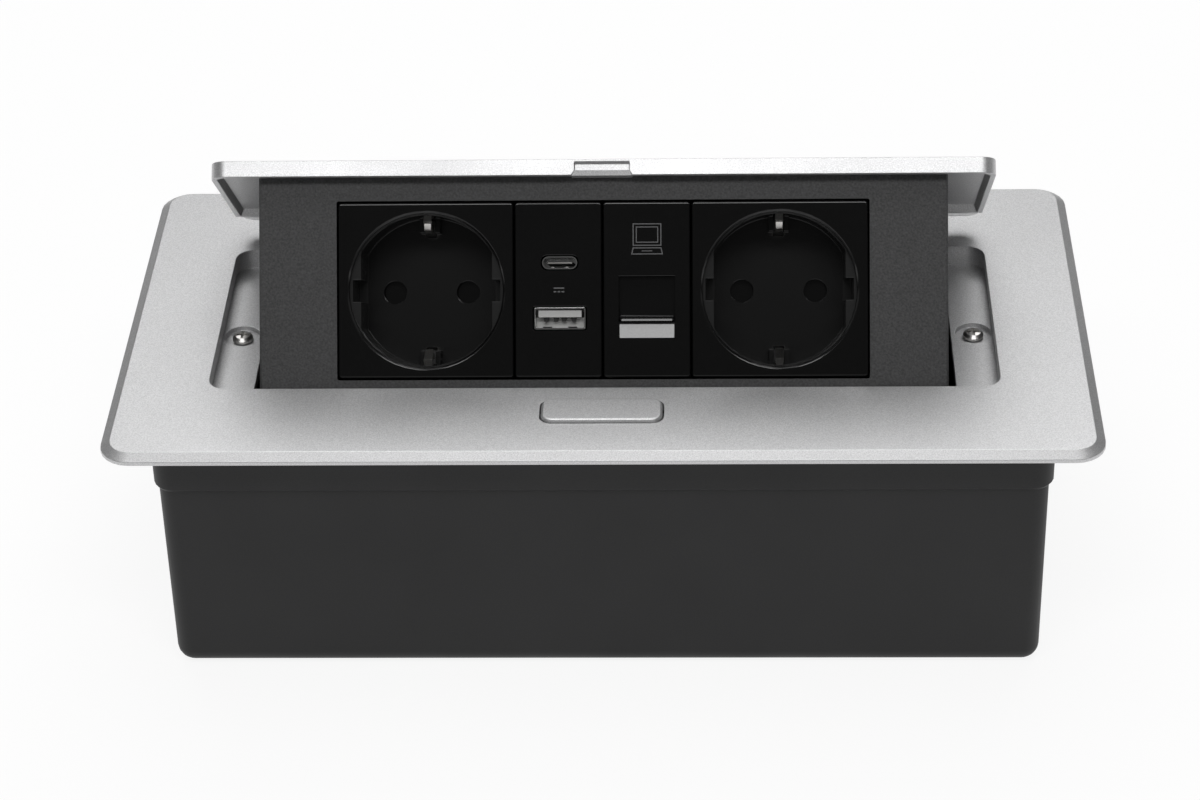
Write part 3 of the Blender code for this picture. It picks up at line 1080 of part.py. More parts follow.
def build():
    clear_scene()
    satin = paint("satin_aluminium", (0.55, 0.55, 0.56), 0.38, 0.9)
    anthracite = paint("anthracite_paint", (0.062, 0.062, 0.064), 0.55)
    housing_black = paint("housing_plastic", (0.035, 0.035, 0.036), 0.5)
    gloss = paint("gloss_black_plastic", (0.012, 0.012, 0.012), 0.2)
    inner_black = paint("inner_plastic", (0.02, 0.02, 0.02), 0.45)
    steel = paint("bright_steel", (0.6, 0.6, 0.6), 0.3, 1.0)
    brass = paint("brass", (0.7, 0.52, 0.22), 0.35, 1.0)
    white = paint("white_plastic", (0.75, 0.75, 0.74), 0.4)
    board = paint("circuit_board", (0.02, 0.12, 0.05), 0.5)
    label = paint("label_grey", (0.55, 0.55, 0.55), 0.4)
    rubber = paint("black_rubber", (0.02, 0.02, 0.02), 0.7)

    desk = empty("desk_level", None, (0, -FRAME_CENTRE, HOUSING_HEIGHT))
    swing = empty("swing_axis", desk, (0, 0, -PIVOT_DROP), -OPEN_ANGLE)
    panel = empty("panel_plane", swing, (0, PANEL.x, PANEL.y), math.pi / 2 + FASCIA_LEAN)

    make_frame(satin, desk)
    make_housing(housing_black, desk)
    make_gland(rubber, desk)
    seat = -LEDGE_DEPTH - COUNTERBORE_DEPTH + GAP
    for name, side in (("frame_screw_left", -1), ("frame_screw_right", 1)):
        make_cross_screw(name, steel, desk, (side * SCREW_X, SCREW_Y, seat), SCREW_LENGTH, SCREW_RADIUS,
                         SCREW_HEAD_RADIUS, SCREW_HEAD_HEIGHT)
    make_button(satin, desk)
    make_latch(steel, desk)
    make_latch_carrier(inner_black, desk)
    make_button_springs(steel, desk)
    tab_seat = LATCH_FLOOR - CARRIER_FLOOR - GAP
    for name, side in (("carrier_screw_left", -1), ("carrier_screw_right", 1)):
        make_cross_screw(name, steel, desk, (side * TAB_SCREW_X, BUTTON_Y, tab_seat), TAB_SCREW_LENGTH,
                         TAB_SCREW_RADIUS, TAB_SCREW_HEAD_RADIUS, TAB_SCREW_HEAD_HEIGHT, flip=True)
    for name, side in (("pivot_pin_left", -1), ("pivot_pin_right", 1)):
        make_pivot_pin(name, side, steel, desk)
    for name, side in (("hinge_spring_left", -1), ("hinge_spring_right", 1)):
        make_hinge_spring(name, side, steel, desk)

    make_lid(satin, swing)
    make_fascia(anthracite, panel)
    make_carriage(inner_black, swing)
    make_rear_cover(inner_black, panel)
    for prefix, x in (("socket_left", -MODULE), ("socket_right", MODULE)):
        make_socket(prefix, x, (gloss, inner_black, steel, brass), panel)
    make_usb((gloss, steel, white, board, inner_black), panel)
    make_data((gloss, inner_black, label), panel)


build()
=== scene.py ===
"""Scene for the in-desk power module: camera, studio light, materials and fine detail.

All lengths are in metres. The frame of the fascia has X to the right, Y up the panel and Z out of it.
"""
import json
import math

import bmesh
import bpy
from mathutils import Matrix, Vector


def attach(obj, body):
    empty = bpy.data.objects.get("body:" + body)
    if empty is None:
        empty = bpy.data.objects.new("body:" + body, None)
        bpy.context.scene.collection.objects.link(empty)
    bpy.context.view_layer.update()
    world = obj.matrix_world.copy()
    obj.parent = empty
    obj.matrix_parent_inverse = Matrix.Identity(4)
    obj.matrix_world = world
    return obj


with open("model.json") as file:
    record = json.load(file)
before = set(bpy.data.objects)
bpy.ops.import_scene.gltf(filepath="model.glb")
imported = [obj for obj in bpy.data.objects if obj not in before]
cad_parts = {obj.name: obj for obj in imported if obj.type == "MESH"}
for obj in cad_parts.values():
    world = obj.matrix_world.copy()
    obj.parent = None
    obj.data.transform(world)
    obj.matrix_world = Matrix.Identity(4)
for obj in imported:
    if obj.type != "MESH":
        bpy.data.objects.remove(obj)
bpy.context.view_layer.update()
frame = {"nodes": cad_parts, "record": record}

# Camera, fitted to the photograph: angles in degrees, offsets of the desk's middle from the view line
IMAGE_WIDTH = 1200
FOCAL_PIXELS = 3332.87
SENSOR_WIDTH = 36.0
PITCH = 34.209
YAW = 2.387
ROLL = -1.551
OFFSET_RIGHT = 0.001633
OFFSET_DOWN = -0.022723
DISTANCE = 0.875052
DESK_LEVEL = 0.071
CLIP_START = 0.01

# Studio: the room is dim, so the gloss faces and the sides stay dark
ROOM_LIGHT = 0.08
LIGHT_AIM = (0, 0, 0.07)

# Softboxes: name, place, width, height and power
SOFTBOXES = (
    ("top_front_softbox", (0, -0.75, 1.35), 1.5, 0.3, 8.0),
    ("back_softbox", (0, 1.1, 1.35), 1.7, 0.8, 9.0),
    ("overhead_softbox", (0, 0.3, 1.7), 1.6, 0.9, 6.5),
    ("left_softbox", (-1.4, 0.2, 0.6), 0.8, 0.8, 0.4),
    ("right_softbox", (1.4, 0.2, 0.6), 0.8, 0.8, 0.4),
    ("low_front_softbox", (0, -1.5, 0.35), 1.6, 0.5, 0.8),
)

# Floor: how much of its whiteness the camera and reflections see in place of its lit surface
FLOOR_SIZE = 6
FLOOR_LEVEL = -0.0002
FLOOR_GREY = 0.8
FLOOR_WHITE = 1.08
FLOOR_SHARES = (("Is Camera Ray", 0.82), ("Is Glossy Ray", 0.60))

# Plane of the fascia: a point on it and its lean back from the vertical
PANEL_ORIGIN = Vector((0, -0.01974, 0.09086))
PANEL_LEAN = math.radians(33.976)

# Places on the fascia
FACE = 0.0006
CHARGER_X = -0.01125
DATA_X = 0.01125
SOCKET_X = 0.045
PORT_X = 0.00035
SHUTTER_LIP_LOW = -0.0084

# Socket wells, with a lighter black painted on their guide lugs as a highlight
WELL_RADIUS = 0.01965
WELL_START = 0.00084
LUG_FLAT = 0.0167
PLACE_MARGIN = 0.0001
WELL_BLACK = (0.005, 0.005, 0.005, 1)
WELL_ROUGHNESS = 0.24
# Painted highlight: a lighter black for the guide lugs, which are the same moulding as the rest of the well
LUG_PAINTED_HIGHLIGHT = (0.020, 0.020, 0.020, 1)

# Printed marks: how far the ink is sunk and stands proud, then the shapes of the two signs
INK_SUNK = 0.00002
INK_PROUD = 0.00003
SYMBOL_LEFT = -0.0012
SYMBOL_WIDTH = 0.0027
STROKE_NEAR = 0.0003
STROKE_FAR = 0.00062
DASHES = 3
DASH_STEP = 0.001
DASH_WIDTH = 0.0007
SCREEN = (0.0077, 0.0150, 0.0111, 0.0168)
SCREEN_LINE = 0.00026
PANE = (0.0085, 0.0142, 0.0119, 0.0160)
PANE_LINE = 0.00024
KEYBOARD_OUTER = ((0.0073, 0.0089), (0.0154, 0.0089), (0.0150, 0.0107), (0.0077, 0.0107))
KEYBOARD_INNER = ((0.00761, 0.00916), (0.01509, 0.00916), (0.01478, 0.01044), (0.00792, 0.01044))
SPACE_BAR = (0.0100, 0.0127, 0.0097, 0.0099)

# USB-A port: its opening, then the pieces in it with their depths behind the face
A_PORT_Y = -0.00725
A_PORT_HEIGHT = 0.0055
A_PORT_WALL = 0.00035
A_TONGUE_LOW = -0.00695
A_CLEARANCE = 0.00005
INSULATOR_HALF_WIDTH = 0.00615
INSULATOR_DEPTHS = (-0.0034, -0.0030)
CONTACT_PLACES = (-0.0035, -0.001, 0.001, 0.0035)
CONTACT_HEIGHT = 0.0010
CONTACT_HALF_LOW = 0.0005
CONTACT_HALF_TOP = 0.0007
CONTACT_DEPTHS = (-0.0028, -0.0012)
A_SPRING_X = 0.0032
A_SPRING_HALF_WIDTH = 0.0011
A_SPRING_TOP = 0.00032
A_SPRING_DEPTHS = (-0.0028, -0.0004)

# USB-C port, in the same way
C_PORT_Y = 0.0069
C_PORT_HEIGHT = 0.00326
C_PORT_WALL = 0.0003
C_SPRING_X = 0.0018
C_SPRING_HALF_LOW = 0.0005
C_SPRING_HALF_TOP = 0.0002
C_SPRING_LOW = 0.00002
C_SPRING_TOP = 0.0004
C_SPRING_DEPTHS = (-0.0030, -0.0006)
C_EDGE_HALF_WIDTH = 0.0031
C_EDGE_HALF_HEIGHT = 0.00016
C_EDGE_DEPTHS = (-0.00062, -0.00052)

# Profiles of Y and Z points that are drawn out along X, and half the length of each
GRIP_PROFILE = ((0.0004, 0.00128), (0.00095, 0.00128), (0.00092, 0.00140), (0.00043, 0.00150))
GRIP_HALF_LENGTH = 0.0064
NOSE_PROFILE = ((0.0179, -0.0056), (0.0178, -0.0049), (0.0175, -0.00485), (0.0160, -0.0056),
                (0.0154, -0.0062), (0.0151, -0.0072), (0.0153, -0.0080), (0.0160, -0.0072))
NOSE_HALF_LENGTH = 0.00095
NOSE_EDGE = 0.0002
SEAL_PROFILE = ((0.0190, -0.03851), (0.02088, -0.03851), (0.02106, -0.0374), (0.0190, -0.0374))
SEAL_HALF_LENGTH = 0.0835

# Finishes: what each differs in from make_finish
FINISHES = {
    "satin_aluminium": dict(
        name="satin_cast_aluminium", colour=(0.68, 0.68, 0.685), roughness=0.42, metallic=0.82, grain=3600,
        spread=0.16, rough_spread=0.03, bump=0.35, bump_height=0.00003),
    "anthracite_paint": dict(
        name="anthracite_texture_paint", colour=(0.056, 0.056, 0.057), roughness=0.55, grain=1900,
        spread=0.35, bump=0.6, bump_height=0.00008),
    "housing_plastic": dict(
        name="housing_moulded_plastic", colour=(0.0198, 0.0198, 0.0203), roughness=0.48, grain=2600,
        spread=0.12, bump=0.35, bump_height=0.00003, specular=0.35),
    "gloss_black_plastic": dict(
        name="gloss_black_plastic_finish", colour=(0.004, 0.004, 0.004), roughness=0.13, grain=900,
        rough_spread=0.03, bump=0.02),
    "socket_insert": dict(
        name="socket_insert_black", colour=(0.004, 0.004, 0.004), roughness=0.13, grain=900,
        rough_spread=0.03, bump=0.02),
    "inner_plastic": dict(
        name="inner_moulded_plastic", colour=(0.018, 0.018, 0.018), roughness=0.45, spread=0.12, bump=0.2,
        bump_height=0.00002),
    "bright_steel": dict(
        name="bright_plated_steel", colour=(0.62, 0.61, 0.59), roughness=0.28, metallic=1.0, spread=0.08,
        rough_spread=0.06),
    "port_steel": dict(
        name="polished_port_steel", colour=(0.66, 0.66, 0.65), roughness=0.14, metallic=1.0, spread=0.05,
        bump=0.05),
    "brass": dict(
        name="turned_brass", colour=(0.72, 0.52, 0.22), roughness=0.32, metallic=1.0, spread=0.08,
        rough_spread=0.05),
    "white_plastic": dict(
        name="white_insulator", colour=(0.62, 0.62, 0.61), roughness=0.4, spread=0.04),
    "circuit_board": dict(
        name="solder_mask", colour=(0.02, 0.12, 0.05), roughness=0.4, grain=1200, spread=0.25,
        rough_spread=0.06, bump=0.2, bump_height=0.00002),
    "label_grey": dict(
        name="label_card", colour=(0.68, 0.68, 0.68), roughness=0.35, spread=0.05),
    "black_rubber": dict(
        name="gland_rubber", colour=(0.018, 0.018, 0.018), roughness=0.7, grain=1800, spread=0.2,
        rough_spread=0.05, bump=0.4, bump_height=0.00003),
    "marking_ink": dict(
        name="marking_ink", colour=(0.135, 0.135, 0.138), roughness=0.45, grain=3000),
    # Painted shade: black for the USB-A contacts and latch springs, standing in for the shade in the port
    "port_painted_shade": dict(
        name="port_shadow_black", colour=(0.004, 0.004, 0.004), roughness=0.6),
}
BROAD_GRAIN = 35.0
RAMP_LOW = 0.3
RAMP_HIGH = 0.7

# Width of the rounded edges of each CAD node that has them
EDGES = {
    "bezel_frame": 0.0002,
    "housing": 0.0004,
    "lid": 0.0002,
    "fascia": 0.00015,
    "release_button": 0.0004,
    "frame_screw_left": 0.00012,
    "frame_screw_right": 0.00012,
    "socket_left_insert": 0.00014,
    "socket_right_insert": 0.00014,
    "data_shutter": 0.00015,
    "label_strip": 0.00012,
    "usb_a_shell": 0.00008,
    "usb_a_tongue": 0.0001,
    "usb_c_tongue": 0.0001,
    "socket_left_earth_yoke": 0.00012,
    "socket_right_earth_yoke": 0.00012,
    "latch_bolt": 0.0002,
    "carriage": 0.0003,
    "rear_cover": 0.0003,
    "data_module": 0.00014,
    "usb_module": 0.00014,
    "latch_carrier": 0.0002,
}
EDGE_SEGMENTS = 2

# Nodes that are dressed in their own way
INSERTS = ("socket_left_insert", "socket_right_insert")
CRISP = INSERTS + ("data_module", "usb_module", "data_shutter")
UNCLAMPED = CRISP + ("release_button", "bezel_frame", "lid")
POLISHED = ("usb_a_shell", "usb_c_shell")

# Limits of the dressing: angles in degrees
WELD_DISTANCE = 0.000005
FLAT_ANGLE = 0.5
EDGE_ANGLE = 28
SPLIT_ANGLE = 35
CRISP_SPLIT_ANGLE = 10
PIECE_SPLIT_ANGLE = 32


def panel_matrix():
    """Matrix from the frame of the fascia to the whole object's."""
    turn = Matrix.Rotation(math.pi / 2 - PANEL_LEAN, 4, "X")
    return Matrix.Translation(PANEL_ORIGIN) @ turn


PANEL = panel_matrix()


def place_camera():
    pitch, yaw, roll = (math.radians(value) for value in (PITCH, YAW, ROLL))
    side = Vector((math.cos(yaw), math.sin(yaw), 0))
    ahead = Vector((-math.sin(yaw), math.cos(yaw), 0))
    up = Vector((0, 0, 1))
    forward = ahead * math.cos(pitch) - up * math.sin(pitch)
    down = -ahead * math.sin(pitch) - up * math.cos(pitch)
    right = side * math.cos(roll) - down * math.sin(roll)
    low = side * math.sin(roll) + down * math.cos(roll)
    place = -right * OFFSET_RIGHT - low * OFFSET_DOWN - forward * DISTANCE
    data = bpy.data.cameras.new("photo_camera")
    data.sensor_fit = "HORIZONTAL"
    data.sensor_width = SENSOR_WIDTH
    data.lens = FOCAL_PIXELS * SENSOR_WIDTH / IMAGE_WIDTH
    data.clip_start = CLIP_START
    camera = bpy.data.objects.new("photo_camera", data)
    axes = Matrix((right, -low, -forward)).transposed().to_4x4()
    camera.matrix_world = Matrix.Translation(place + up * DESK_LEVEL) @ axes
    bpy.context.collection.objects.link(camera)
    bpy.context.scene.camera = camera


def add_softbox(name, place, width, height, power):
    data = bpy.data.lights.new(name, "AREA")
    data.shape = "RECTANGLE"
    data.size = width
    data.size_y = height
    data.energy = power
    lamp = bpy.data.objects.new(name, data)
    aim = (Vector(LIGHT_AIM) - Vector(place)).to_track_quat("-Z", "Y")
    lamp.matrix_world = Matrix.Translation(place) @ aim.to_matrix().to_4x4()
    lamp.visible_camera = False
    bpy.context.collection.objects.link(lamp)


def light_the_studio():
    """A dim room that is white to the camera, and softboxes round the object."""
    scene = bpy.context.scene
    scene.view_settings.view_transform = "Standard"
    world = bpy.data.worlds.new("studio")
    scene.world = world
    world.use_nodes = True
    nodes, links = world.node_tree.nodes, world.node_tree.links
    nodes.clear()
    path = nodes.new("ShaderNodeLightPath")
    room = nodes.new("ShaderNodeBackground")
    room.inputs["Color"].default_value = (1, 1, 1, 1)
    room.inputs["Strength"].default_value = ROOM_LIGHT
    white = nodes.new("ShaderNodeBackground")
    white.inputs["Color"].default_value = (1, 1, 1, 1)
    white.inputs["Strength"].default_value = 1.0
    mix = nodes.new("ShaderNodeMixShader")
    output = nodes.new("ShaderNodeOutputWorld")
    links.new(path.outputs["Is Camera Ray"], mix.inputs["Fac"])
    links.new(room.outputs["Background"], mix.inputs[1])
    links.new(white.outputs["Background"], mix.inputs[2])
    links.new(mix.outputs["Shader"], output.inputs["Surface"])
    for softbox in SOFTBOXES:
        add_softbox(*softbox)


def lay_floor():
    """Pale floor that keeps a faint shadow and is white to the camera and in reflections."""
    shape = bmesh.new()
    bmesh.ops.create_grid(shape, x_segments=1, y_segments=1, size=FLOOR_SIZE)
    mesh = bpy.data.meshes.new("floor")
    shape.to_mesh(mesh)
    shape.free()
    floor = bpy.data.objects.new("floor", mesh)
    floor.location = (0, 0, FLOOR_LEVEL)
    bpy.context.collection.objects.link(floor)
    paint = bpy.data.materials.new("pale_floor")
    paint.use_nodes = True
    nodes, links = paint.node_tree.nodes, paint.node_tree.links
    nodes.clear()
    path = nodes.new("ShaderNodeLightPath")
    whiteness = nodes.new("ShaderNodeMath")
    whiteness.operation = "MAXIMUM"
    for socket, (ray, share) in zip(whiteness.inputs, FLOOR_SHARES):
        part = nodes.new("ShaderNodeMath")
        part.operation = "MULTIPLY"
        part.inputs[1].default_value = share
        links.new(path.outputs[ray], part.inputs[0])
        links.new(part.outputs[0], socket)
    surface = nodes.new("ShaderNodeBsdfDiffuse")
    surface.inputs["Color"].default_value = (FLOOR_GREY, FLOOR_GREY, FLOOR_GREY, 1)
    white = nodes.new("ShaderNodeEmission")
    white.inputs["Strength"].default_value = FLOOR_WHITE
    mix = nodes.new("ShaderNodeMixShader")
    output = nodes.new("ShaderNodeOutputMaterial")
    links.new(whiteness.outputs[0], mix.inputs["Fac"])
    links.new(surface.outputs["BSDF"], mix.inputs[1])
    links.new(white.outputs["Emission"], mix.inputs[2])
    links.new(mix.outputs["Shader"], output.inputs["Surface"])
    mesh.materials.append(paint)


def make_finish(name, colour, roughness, metallic=0.0, grain=2500, spread=0.1, rough_spread=0.04, bump=0.1,
                bump_height=0.00001, specular=0.5):
    """A Principled material whose colour, roughness and surface vary with fine grain."""
    finish = bpy.data.materials.new(name)
    finish.use_nodes = True
    nodes, links = finish.node_tree.nodes, finish.node_tree.links
    shader = nodes["Principled BSDF"]
    shader.inputs["Metallic"].default_value = metallic
    shader.inputs["Specular IOR Level"].default_value = specular
    place = nodes.new("ShaderNodeTexCoord")
    fine = nodes.new("ShaderNodeTexNoise")
    fine.inputs["Scale"].default_value = grain
    fine.inputs["Detail"].default_value = 2.0
    links.new(place.outputs["Object"], fine.inputs["Vector"])
    broad = nodes.new("ShaderNodeTexNoise")
    broad.inputs["Scale"].default_value = BROAD_GRAIN
    broad.inputs["Detail"].default_value = 3.0
    links.new(place.outputs["Object"], broad.inputs["Vector"])

    ramp = nodes.new("ShaderNodeValToRGB")
    dark, light = ramp.color_ramp.elements
    dark.position = RAMP_LOW
    light.position = RAMP_HIGH
    dark.color = (*(value * (1 - spread) for value in colour), 1)
    light.color = (*(min(1, value * (1 + spread)) for value in colour), 1)
    links.new(fine.outputs["Fac"], ramp.inputs["Fac"])
    links.new(ramp.outputs["Color"], shader.inputs["Base Color"])

    rough = nodes.new("ShaderNodeMapRange")
    rough.inputs["From Min"].default_value = RAMP_LOW
    rough.inputs["From Max"].default_value = RAMP_HIGH
    rough.inputs["To Min"].default_value = roughness - rough_spread
    rough.inputs["To Max"].default_value = roughness + rough_spread
    links.new(broad.outputs["Fac"], rough.inputs["Value"])
    links.new(rough.outputs["Result"], shader.inputs["Roughness"])

    relief = nodes.new("ShaderNodeBump")
    relief.inputs["Strength"].default_value = bump
    relief.inputs["Distance"].default_value = bump_height
    links.new(fine.outputs["Fac"], relief.inputs["Height"])
    links.new(relief.outputs["Normal"], shader.inputs["Normal"])
    return finish


def satin_wells_and_paint_lug_highlight(finish, node):
    """Make the wells of the socket inserts satin, and paint a highlight on their guide lugs as a lighter
    black, told apart by their place.
    """
    nodes, links = finish.node_tree.nodes, finish.node_tree.links
    shader = nodes["Principled BSDF"]

    def compute(operation, first, second=None):
        step = nodes.new("ShaderNodeMath")
        step.operation = operation
        for socket, value in zip(step.inputs, (first, second)):
            if isinstance(value, float):
                socket.default_value = value
            elif value is not None:
                links.new(value, socket)
        return step.outputs[0]

    def blend(kind, share, first, second):
        mix = nodes.new("ShaderNodeMix")
        mix.data_type = kind
        sockets = [socket for socket in mix.inputs if socket.enabled]
        links.new(share, sockets[0])
        links.new(first, sockets[1])
        sockets[2].default_value = second
        return next(socket for socket in mix.outputs if socket.enabled)

    to_panel = PANEL.inverted() @ node.matrix_world
    place = nodes.new("ShaderNodeTexCoord")
    turn = nodes.new("ShaderNodeMapping")
    turn.inputs["Location"].default_value = to_panel.to_translation()
    turn.inputs["Rotation"].default_value = to_panel.to_euler()
    parts = nodes.new("ShaderNodeSeparateXYZ")
    links.new(place.outputs["Object"], turn.inputs["Vector"])
    links.new(turn.outputs["Vector"], parts.inputs["Vector"])

    across = compute("ABSOLUTE", compute("SUBTRACT", compute("ABSOLUTE", parts.outputs["X"]), SOCKET_X))
    along = compute("ABSOLUTE", parts.outputs["Y"])
    squares = compute("ADD", compute("POWER", across, 2.0), compute("POWER", along, 2.0))
    within = compute("LESS_THAN", compute("SQRT", squares), WELL_RADIUS + PLACE_MARGIN)
    below = compute("LESS_THAN", parts.outputs["Z"], -WELL_START)
    inside = compute("MULTIPLY", within, below)
    # Painted highlight: the guide lugs get the lighter black
    lug_highlight = compute("MULTIPLY", inside, compute("GREATER_THAN", across, LUG_FLAT - PLACE_MARGIN))

    colour = shader.inputs["Base Color"].links[0].from_socket
    satin = blend("RGBA", inside, colour, WELL_BLACK)
    links.new(blend("RGBA", lug_highlight, satin, LUG_PAINTED_HIGHLIGHT), shader.inputs["Base Color"])
    rough = shader.inputs["Roughness"].links[0].from_socket
    links.new(blend("FLOAT", inside, rough, WELL_ROUGHNESS), shader.inputs["Roughness"])


def round_edges(node, name):
    """Fine rounded edges on a CAD node, clamped where its facets are small."""
    edge = node.modifiers.new("edge", "BEVEL")
    edge.width = EDGES[name]
    edge.segments = EDGE_SEGMENTS
    edge.limit_method = "ANGLE"
    edge.angle_limit = math.radians(EDGE_ANGLE)
    edge.harden_normals = name not in CRISP
    edge.use_clamp_overlap = name not in UNCLAMPED
    edge.miter_outer = "MITER_ARC"


def dress_nodes(finishes):
    """Give every carried-over CAD node its finish, smooth shading and fine rounded edges."""
    slots = {part["node"]: part["material_slot"] for part in frame["record"]["subparts"]}
    slots.update({name: "port_steel" for name in POLISHED})
    slots.update({name: "socket_insert" for name in INSERTS})
    for name, node in frame["nodes"].items():
        mesh = node.data
        mesh.materials.clear()
        mesh.materials.append(finishes[slots[name]])
        if "custom_normal" in mesh.attributes:
            mesh.attributes.remove(mesh.attributes["custom_normal"])
        mesh.shade_smooth()
        weld = node.modifiers.new("weld", "WELD")
        weld.merge_threshold = WELD_DISTANCE
        if name not in INSERTS:
            flat = node.modifiers.new("flat", "DECIMATE")
            flat.decimate_type = "DISSOLVE"
            flat.angle_limit = math.radians(FLAT_ANGLE)
        if name in EDGES:
            round_edges(node, name)
        split = node.modifiers.new("split", "EDGE_SPLIT")
        split.split_angle = math.radians(CRISP_SPLIT_ANGLE if name in CRISP else SPLIT_ANGLE)


def add_piece(name, shape, finish, body, edge=0.0):
    """A new piece that rides on a CAD body, made in the frame of the fascia."""
    bmesh.ops.transform(shape, matrix=PANEL, verts=shape.verts)
    bmesh.ops.recalc_face_normals(shape, faces=shape.faces)
    mesh = bpy.data.meshes.new(name)
    shape.to_mesh(mesh)
    shape.free()
    mesh.shade_smooth()
    mesh.set_sharp_from_angle(angle=math.radians(PIECE_SPLIT_ANGLE))
    mesh.materials.append(finish)
    piece = bpy.data.objects.new(name, mesh)
    bpy.context.collection.objects.link(piece)
    if edge:
        bevel = piece.modifiers.new("edge", "BEVEL")
        bevel.width = edge
        bevel.segments = EDGE_SEGMENTS
        bevel.limit_method = "ANGLE"
    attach(piece, body)


def close_ends(shape, near, far):
    """Faces between two outlines of the same count of points, and over both."""
    shape.faces.new(list(reversed(near)))
    shape.faces.new(far)
    for i in range(len(near)):
        j = (i + 1) % len(near)
        shape.faces.new((near[i], near[j], far[j], far[i]))


def prism(shape, outline, low, high):
    """Add a closed solid from an outline of X and Y points between two heights."""
    lower = [shape.verts.new((x, y, low)) for x, y in outline]
    upper = [shape.verts.new((x, y, high)) for x, y in outline]
    close_ends(shape, lower, upper)


def ridge(profile, middle, half_length):
    """A closed solid from a profile of Y and Z points, drawn out along X."""
    shape = bmesh.new()
    near = [shape.verts.new((middle - half_length, y, z)) for y, z in profile]
    far = [shape.verts.new((middle + half_length, y, z)) for y, z in profile]
    close_ends(shape, near, far)
    return shape


def rectangle(x0, x1, y0, y1):
    return [(x0, y0), (x1, y0), (x1, y1), (x0, y1)]


def ring(shape, outer, inner, low, high):
    """Add mitred bars between an outer and an inner outline."""
    for i in range(len(outer)):
        j = (i + 1) % len(outer)
        prism(shape, [outer[i], outer[j], inner[j], inner[i]], low, high)


def framed(shape, box, line, low, high):
    """Add a rectangle's outline of a given line width."""
    x0, x1, y0, y1 = box
    ring(shape, rectangle(*box), rectangle(x0 + line, x1 - line, y0 + line, y1 - line), low, high)


def add_markings(finishes):
    """A direct-current symbol on the charger and a computer pictogram on the data outlet."""
    low, high = FACE - INK_SUNK, FACE + INK_PROUD
    symbol = bmesh.new()
    left = CHARGER_X + SYMBOL_LEFT
    prism(symbol, rectangle(left, left + SYMBOL_WIDTH, STROKE_NEAR, STROKE_FAR), low, high)
    for i in range(DASHES):
        start = left + i * DASH_STEP
        prism(symbol, rectangle(start, start + DASH_WIDTH, -STROKE_FAR, -STROKE_NEAR), low, high)
    add_piece("direct_current_symbol", symbol, finishes["marking_ink"], "pop_up")

    sign = bmesh.new()
    framed(sign, SCREEN, SCREEN_LINE, low, high)
    framed(sign, PANE, PANE_LINE, low, high)
    ring(sign, KEYBOARD_OUTER, KEYBOARD_INNER, low, high)
    prism(sign, rectangle(*SPACE_BAR), low, high)
    add_piece("computer_pictogram", sign, finishes["marking_ink"], "pop_up")


def add_usb_a_detail(finishes):
    """Insulator of the USB-A port, and its contacts and latch springs in a black that is painted shade of
    the port's recesses.
    """
    x = CHARGER_X + PORT_X
    floor = A_PORT_Y - A_PORT_HEIGHT / 2 + A_PORT_WALL
    top = A_TONGUE_LOW - A_CLEARANCE
    insulator, noses, springs = bmesh.new(), bmesh.new(), bmesh.new()
    wall = rectangle(x - INSULATOR_HALF_WIDTH, x + INSULATOR_HALF_WIDTH, floor + A_CLEARANCE, top)
    prism(insulator, wall, *INSULATOR_DEPTHS)
    add_piece("usb_a_insulator", insulator, finishes["white_plastic"], "pop_up")
    # Contacts and latch springs in black: painted shade of the recesses in the port
    for offset in CONTACT_PLACES:
        middle = x + offset
        low = top - CONTACT_HEIGHT
        nose = [(middle - CONTACT_HALF_LOW, low), (middle + CONTACT_HALF_LOW, low),
                (middle + CONTACT_HALF_TOP, top), (middle - CONTACT_HALF_TOP, top)]
        prism(noses, nose, *CONTACT_DEPTHS)
    add_piece("usb_a_contacts_painted_shade", noses, finishes["port_painted_shade"], "pop_up")
    for side in (-1, 1):
        middle = x + side * A_SPRING_X
        spring = rectangle(middle - A_SPRING_HALF_WIDTH, middle + A_SPRING_HALF_WIDTH, floor + A_CLEARANCE,
                           floor + A_SPRING_TOP)
        prism(springs, spring, *A_SPRING_DEPTHS)
    add_piece("usb_a_latch_springs_painted_shade", springs, finishes["port_painted_shade"], "pop_up")


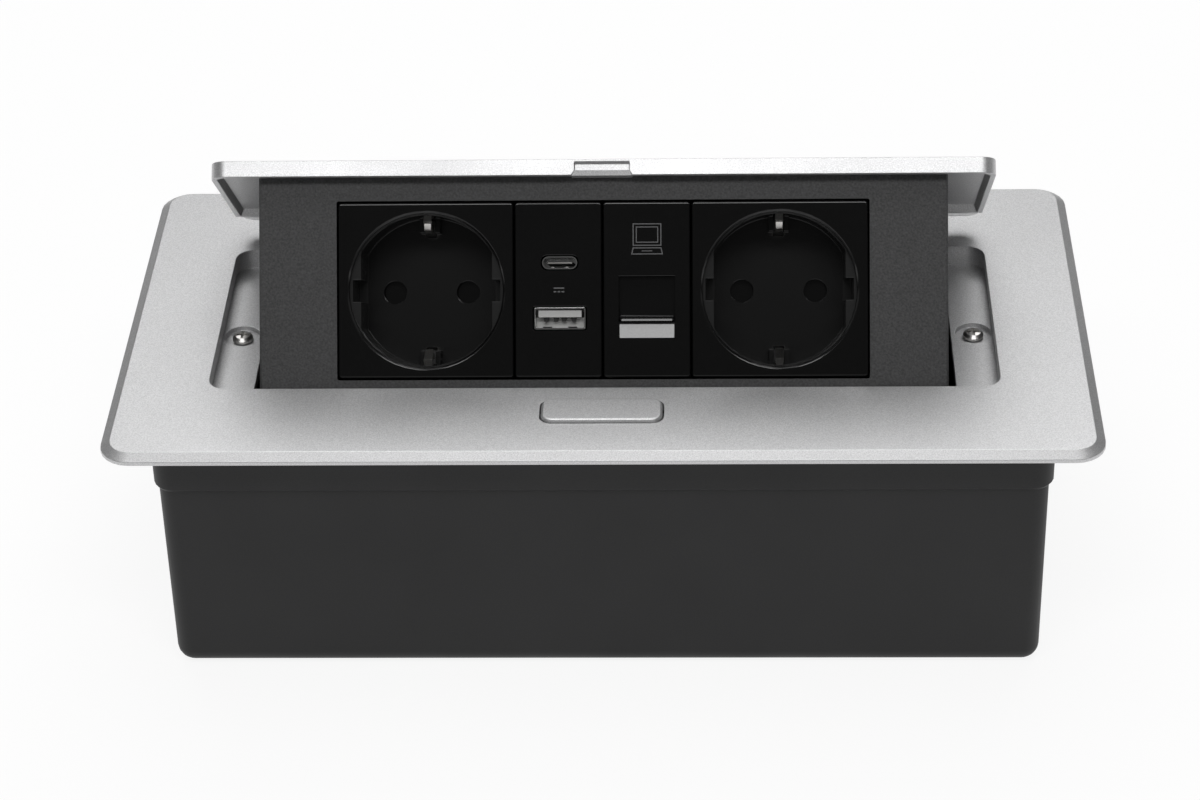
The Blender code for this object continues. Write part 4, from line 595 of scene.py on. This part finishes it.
def add_usb_c_detail(finishes):
    """Latch springs and plated tongue edge of the USB-C port."""
    x = CHARGER_X + PORT_X
    floor = C_PORT_Y - C_PORT_HEIGHT / 2 + C_PORT_WALL
    low, top = floor + C_SPRING_LOW, floor + C_SPRING_TOP
    springs, plating = bmesh.new(), bmesh.new()
    for side in (-1, 1):
        middle = x + side * C_SPRING_X
        wedge = [(middle - C_SPRING_HALF_LOW, low), (middle + C_SPRING_HALF_LOW, low),
                 (middle + C_SPRING_HALF_TOP, top), (middle - C_SPRING_HALF_TOP, top)]
        prism(springs, wedge, *C_SPRING_DEPTHS)
    add_piece("usb_c_latch_springs", springs, finishes["bright_steel"], "pop_up")
    edge = rectangle(x - C_EDGE_HALF_WIDTH, x + C_EDGE_HALF_WIDTH, C_PORT_Y - C_EDGE_HALF_HEIGHT,
                     C_PORT_Y + C_EDGE_HALF_HEIGHT)
    prism(plating, edge, *C_EDGE_DEPTHS)
    add_piece("usb_c_tongue_edge", plating, finishes["bright_steel"], "pop_up")


def add_grip_bar(finishes):
    """Grip bead on the lip of the data outlet's dust shutter."""
    profile = [(SHUTTER_LIP_LOW + y, z) for y, z in GRIP_PROFILE]
    bead = ridge(profile, DATA_X, GRIP_HALF_LENGTH)
    gloss = "gloss_black_plastic"
    add_piece("shutter_grip_bar", bead, finishes[gloss], "dust_shutter")


def add_earth_noses(finishes):
    """Bent noses of the upper earth contacts, in front of their springs."""
    for side, name in ((-1, "earth_nose_left"), (1, "earth_nose_right")):
        nose = ridge(NOSE_PROFILE, side * SOCKET_X, NOSE_HALF_LENGTH)
        add_piece(name, nose, finishes["bright_steel"], "pop_up", NOSE_EDGE)


def add_cover_seal(finishes):
    """Foam strip that closes the gap between the rear cover and the carriage's roof."""
    strip = ridge(SEAL_PROFILE, 0, SEAL_HALF_LENGTH)
    add_piece("cover_seal", strip, finishes["black_rubber"], "pop_up")


def main():
    place_camera()
    light_the_studio()
    lay_floor()
    finishes = {slot: make_finish(**recipe) for slot, recipe in FINISHES.items()}
    satin_wells_and_paint_lug_highlight(finishes["socket_insert"], frame["nodes"]["socket_left_insert"])
    dress_nodes(finishes)
    add_markings(finishes)
    add_usb_a_detail(finishes)
    add_usb_c_detail(finishes)
    add_grip_bar(finishes)
    add_earth_noses(finishes)
    add_cover_seal(finishes)


main()
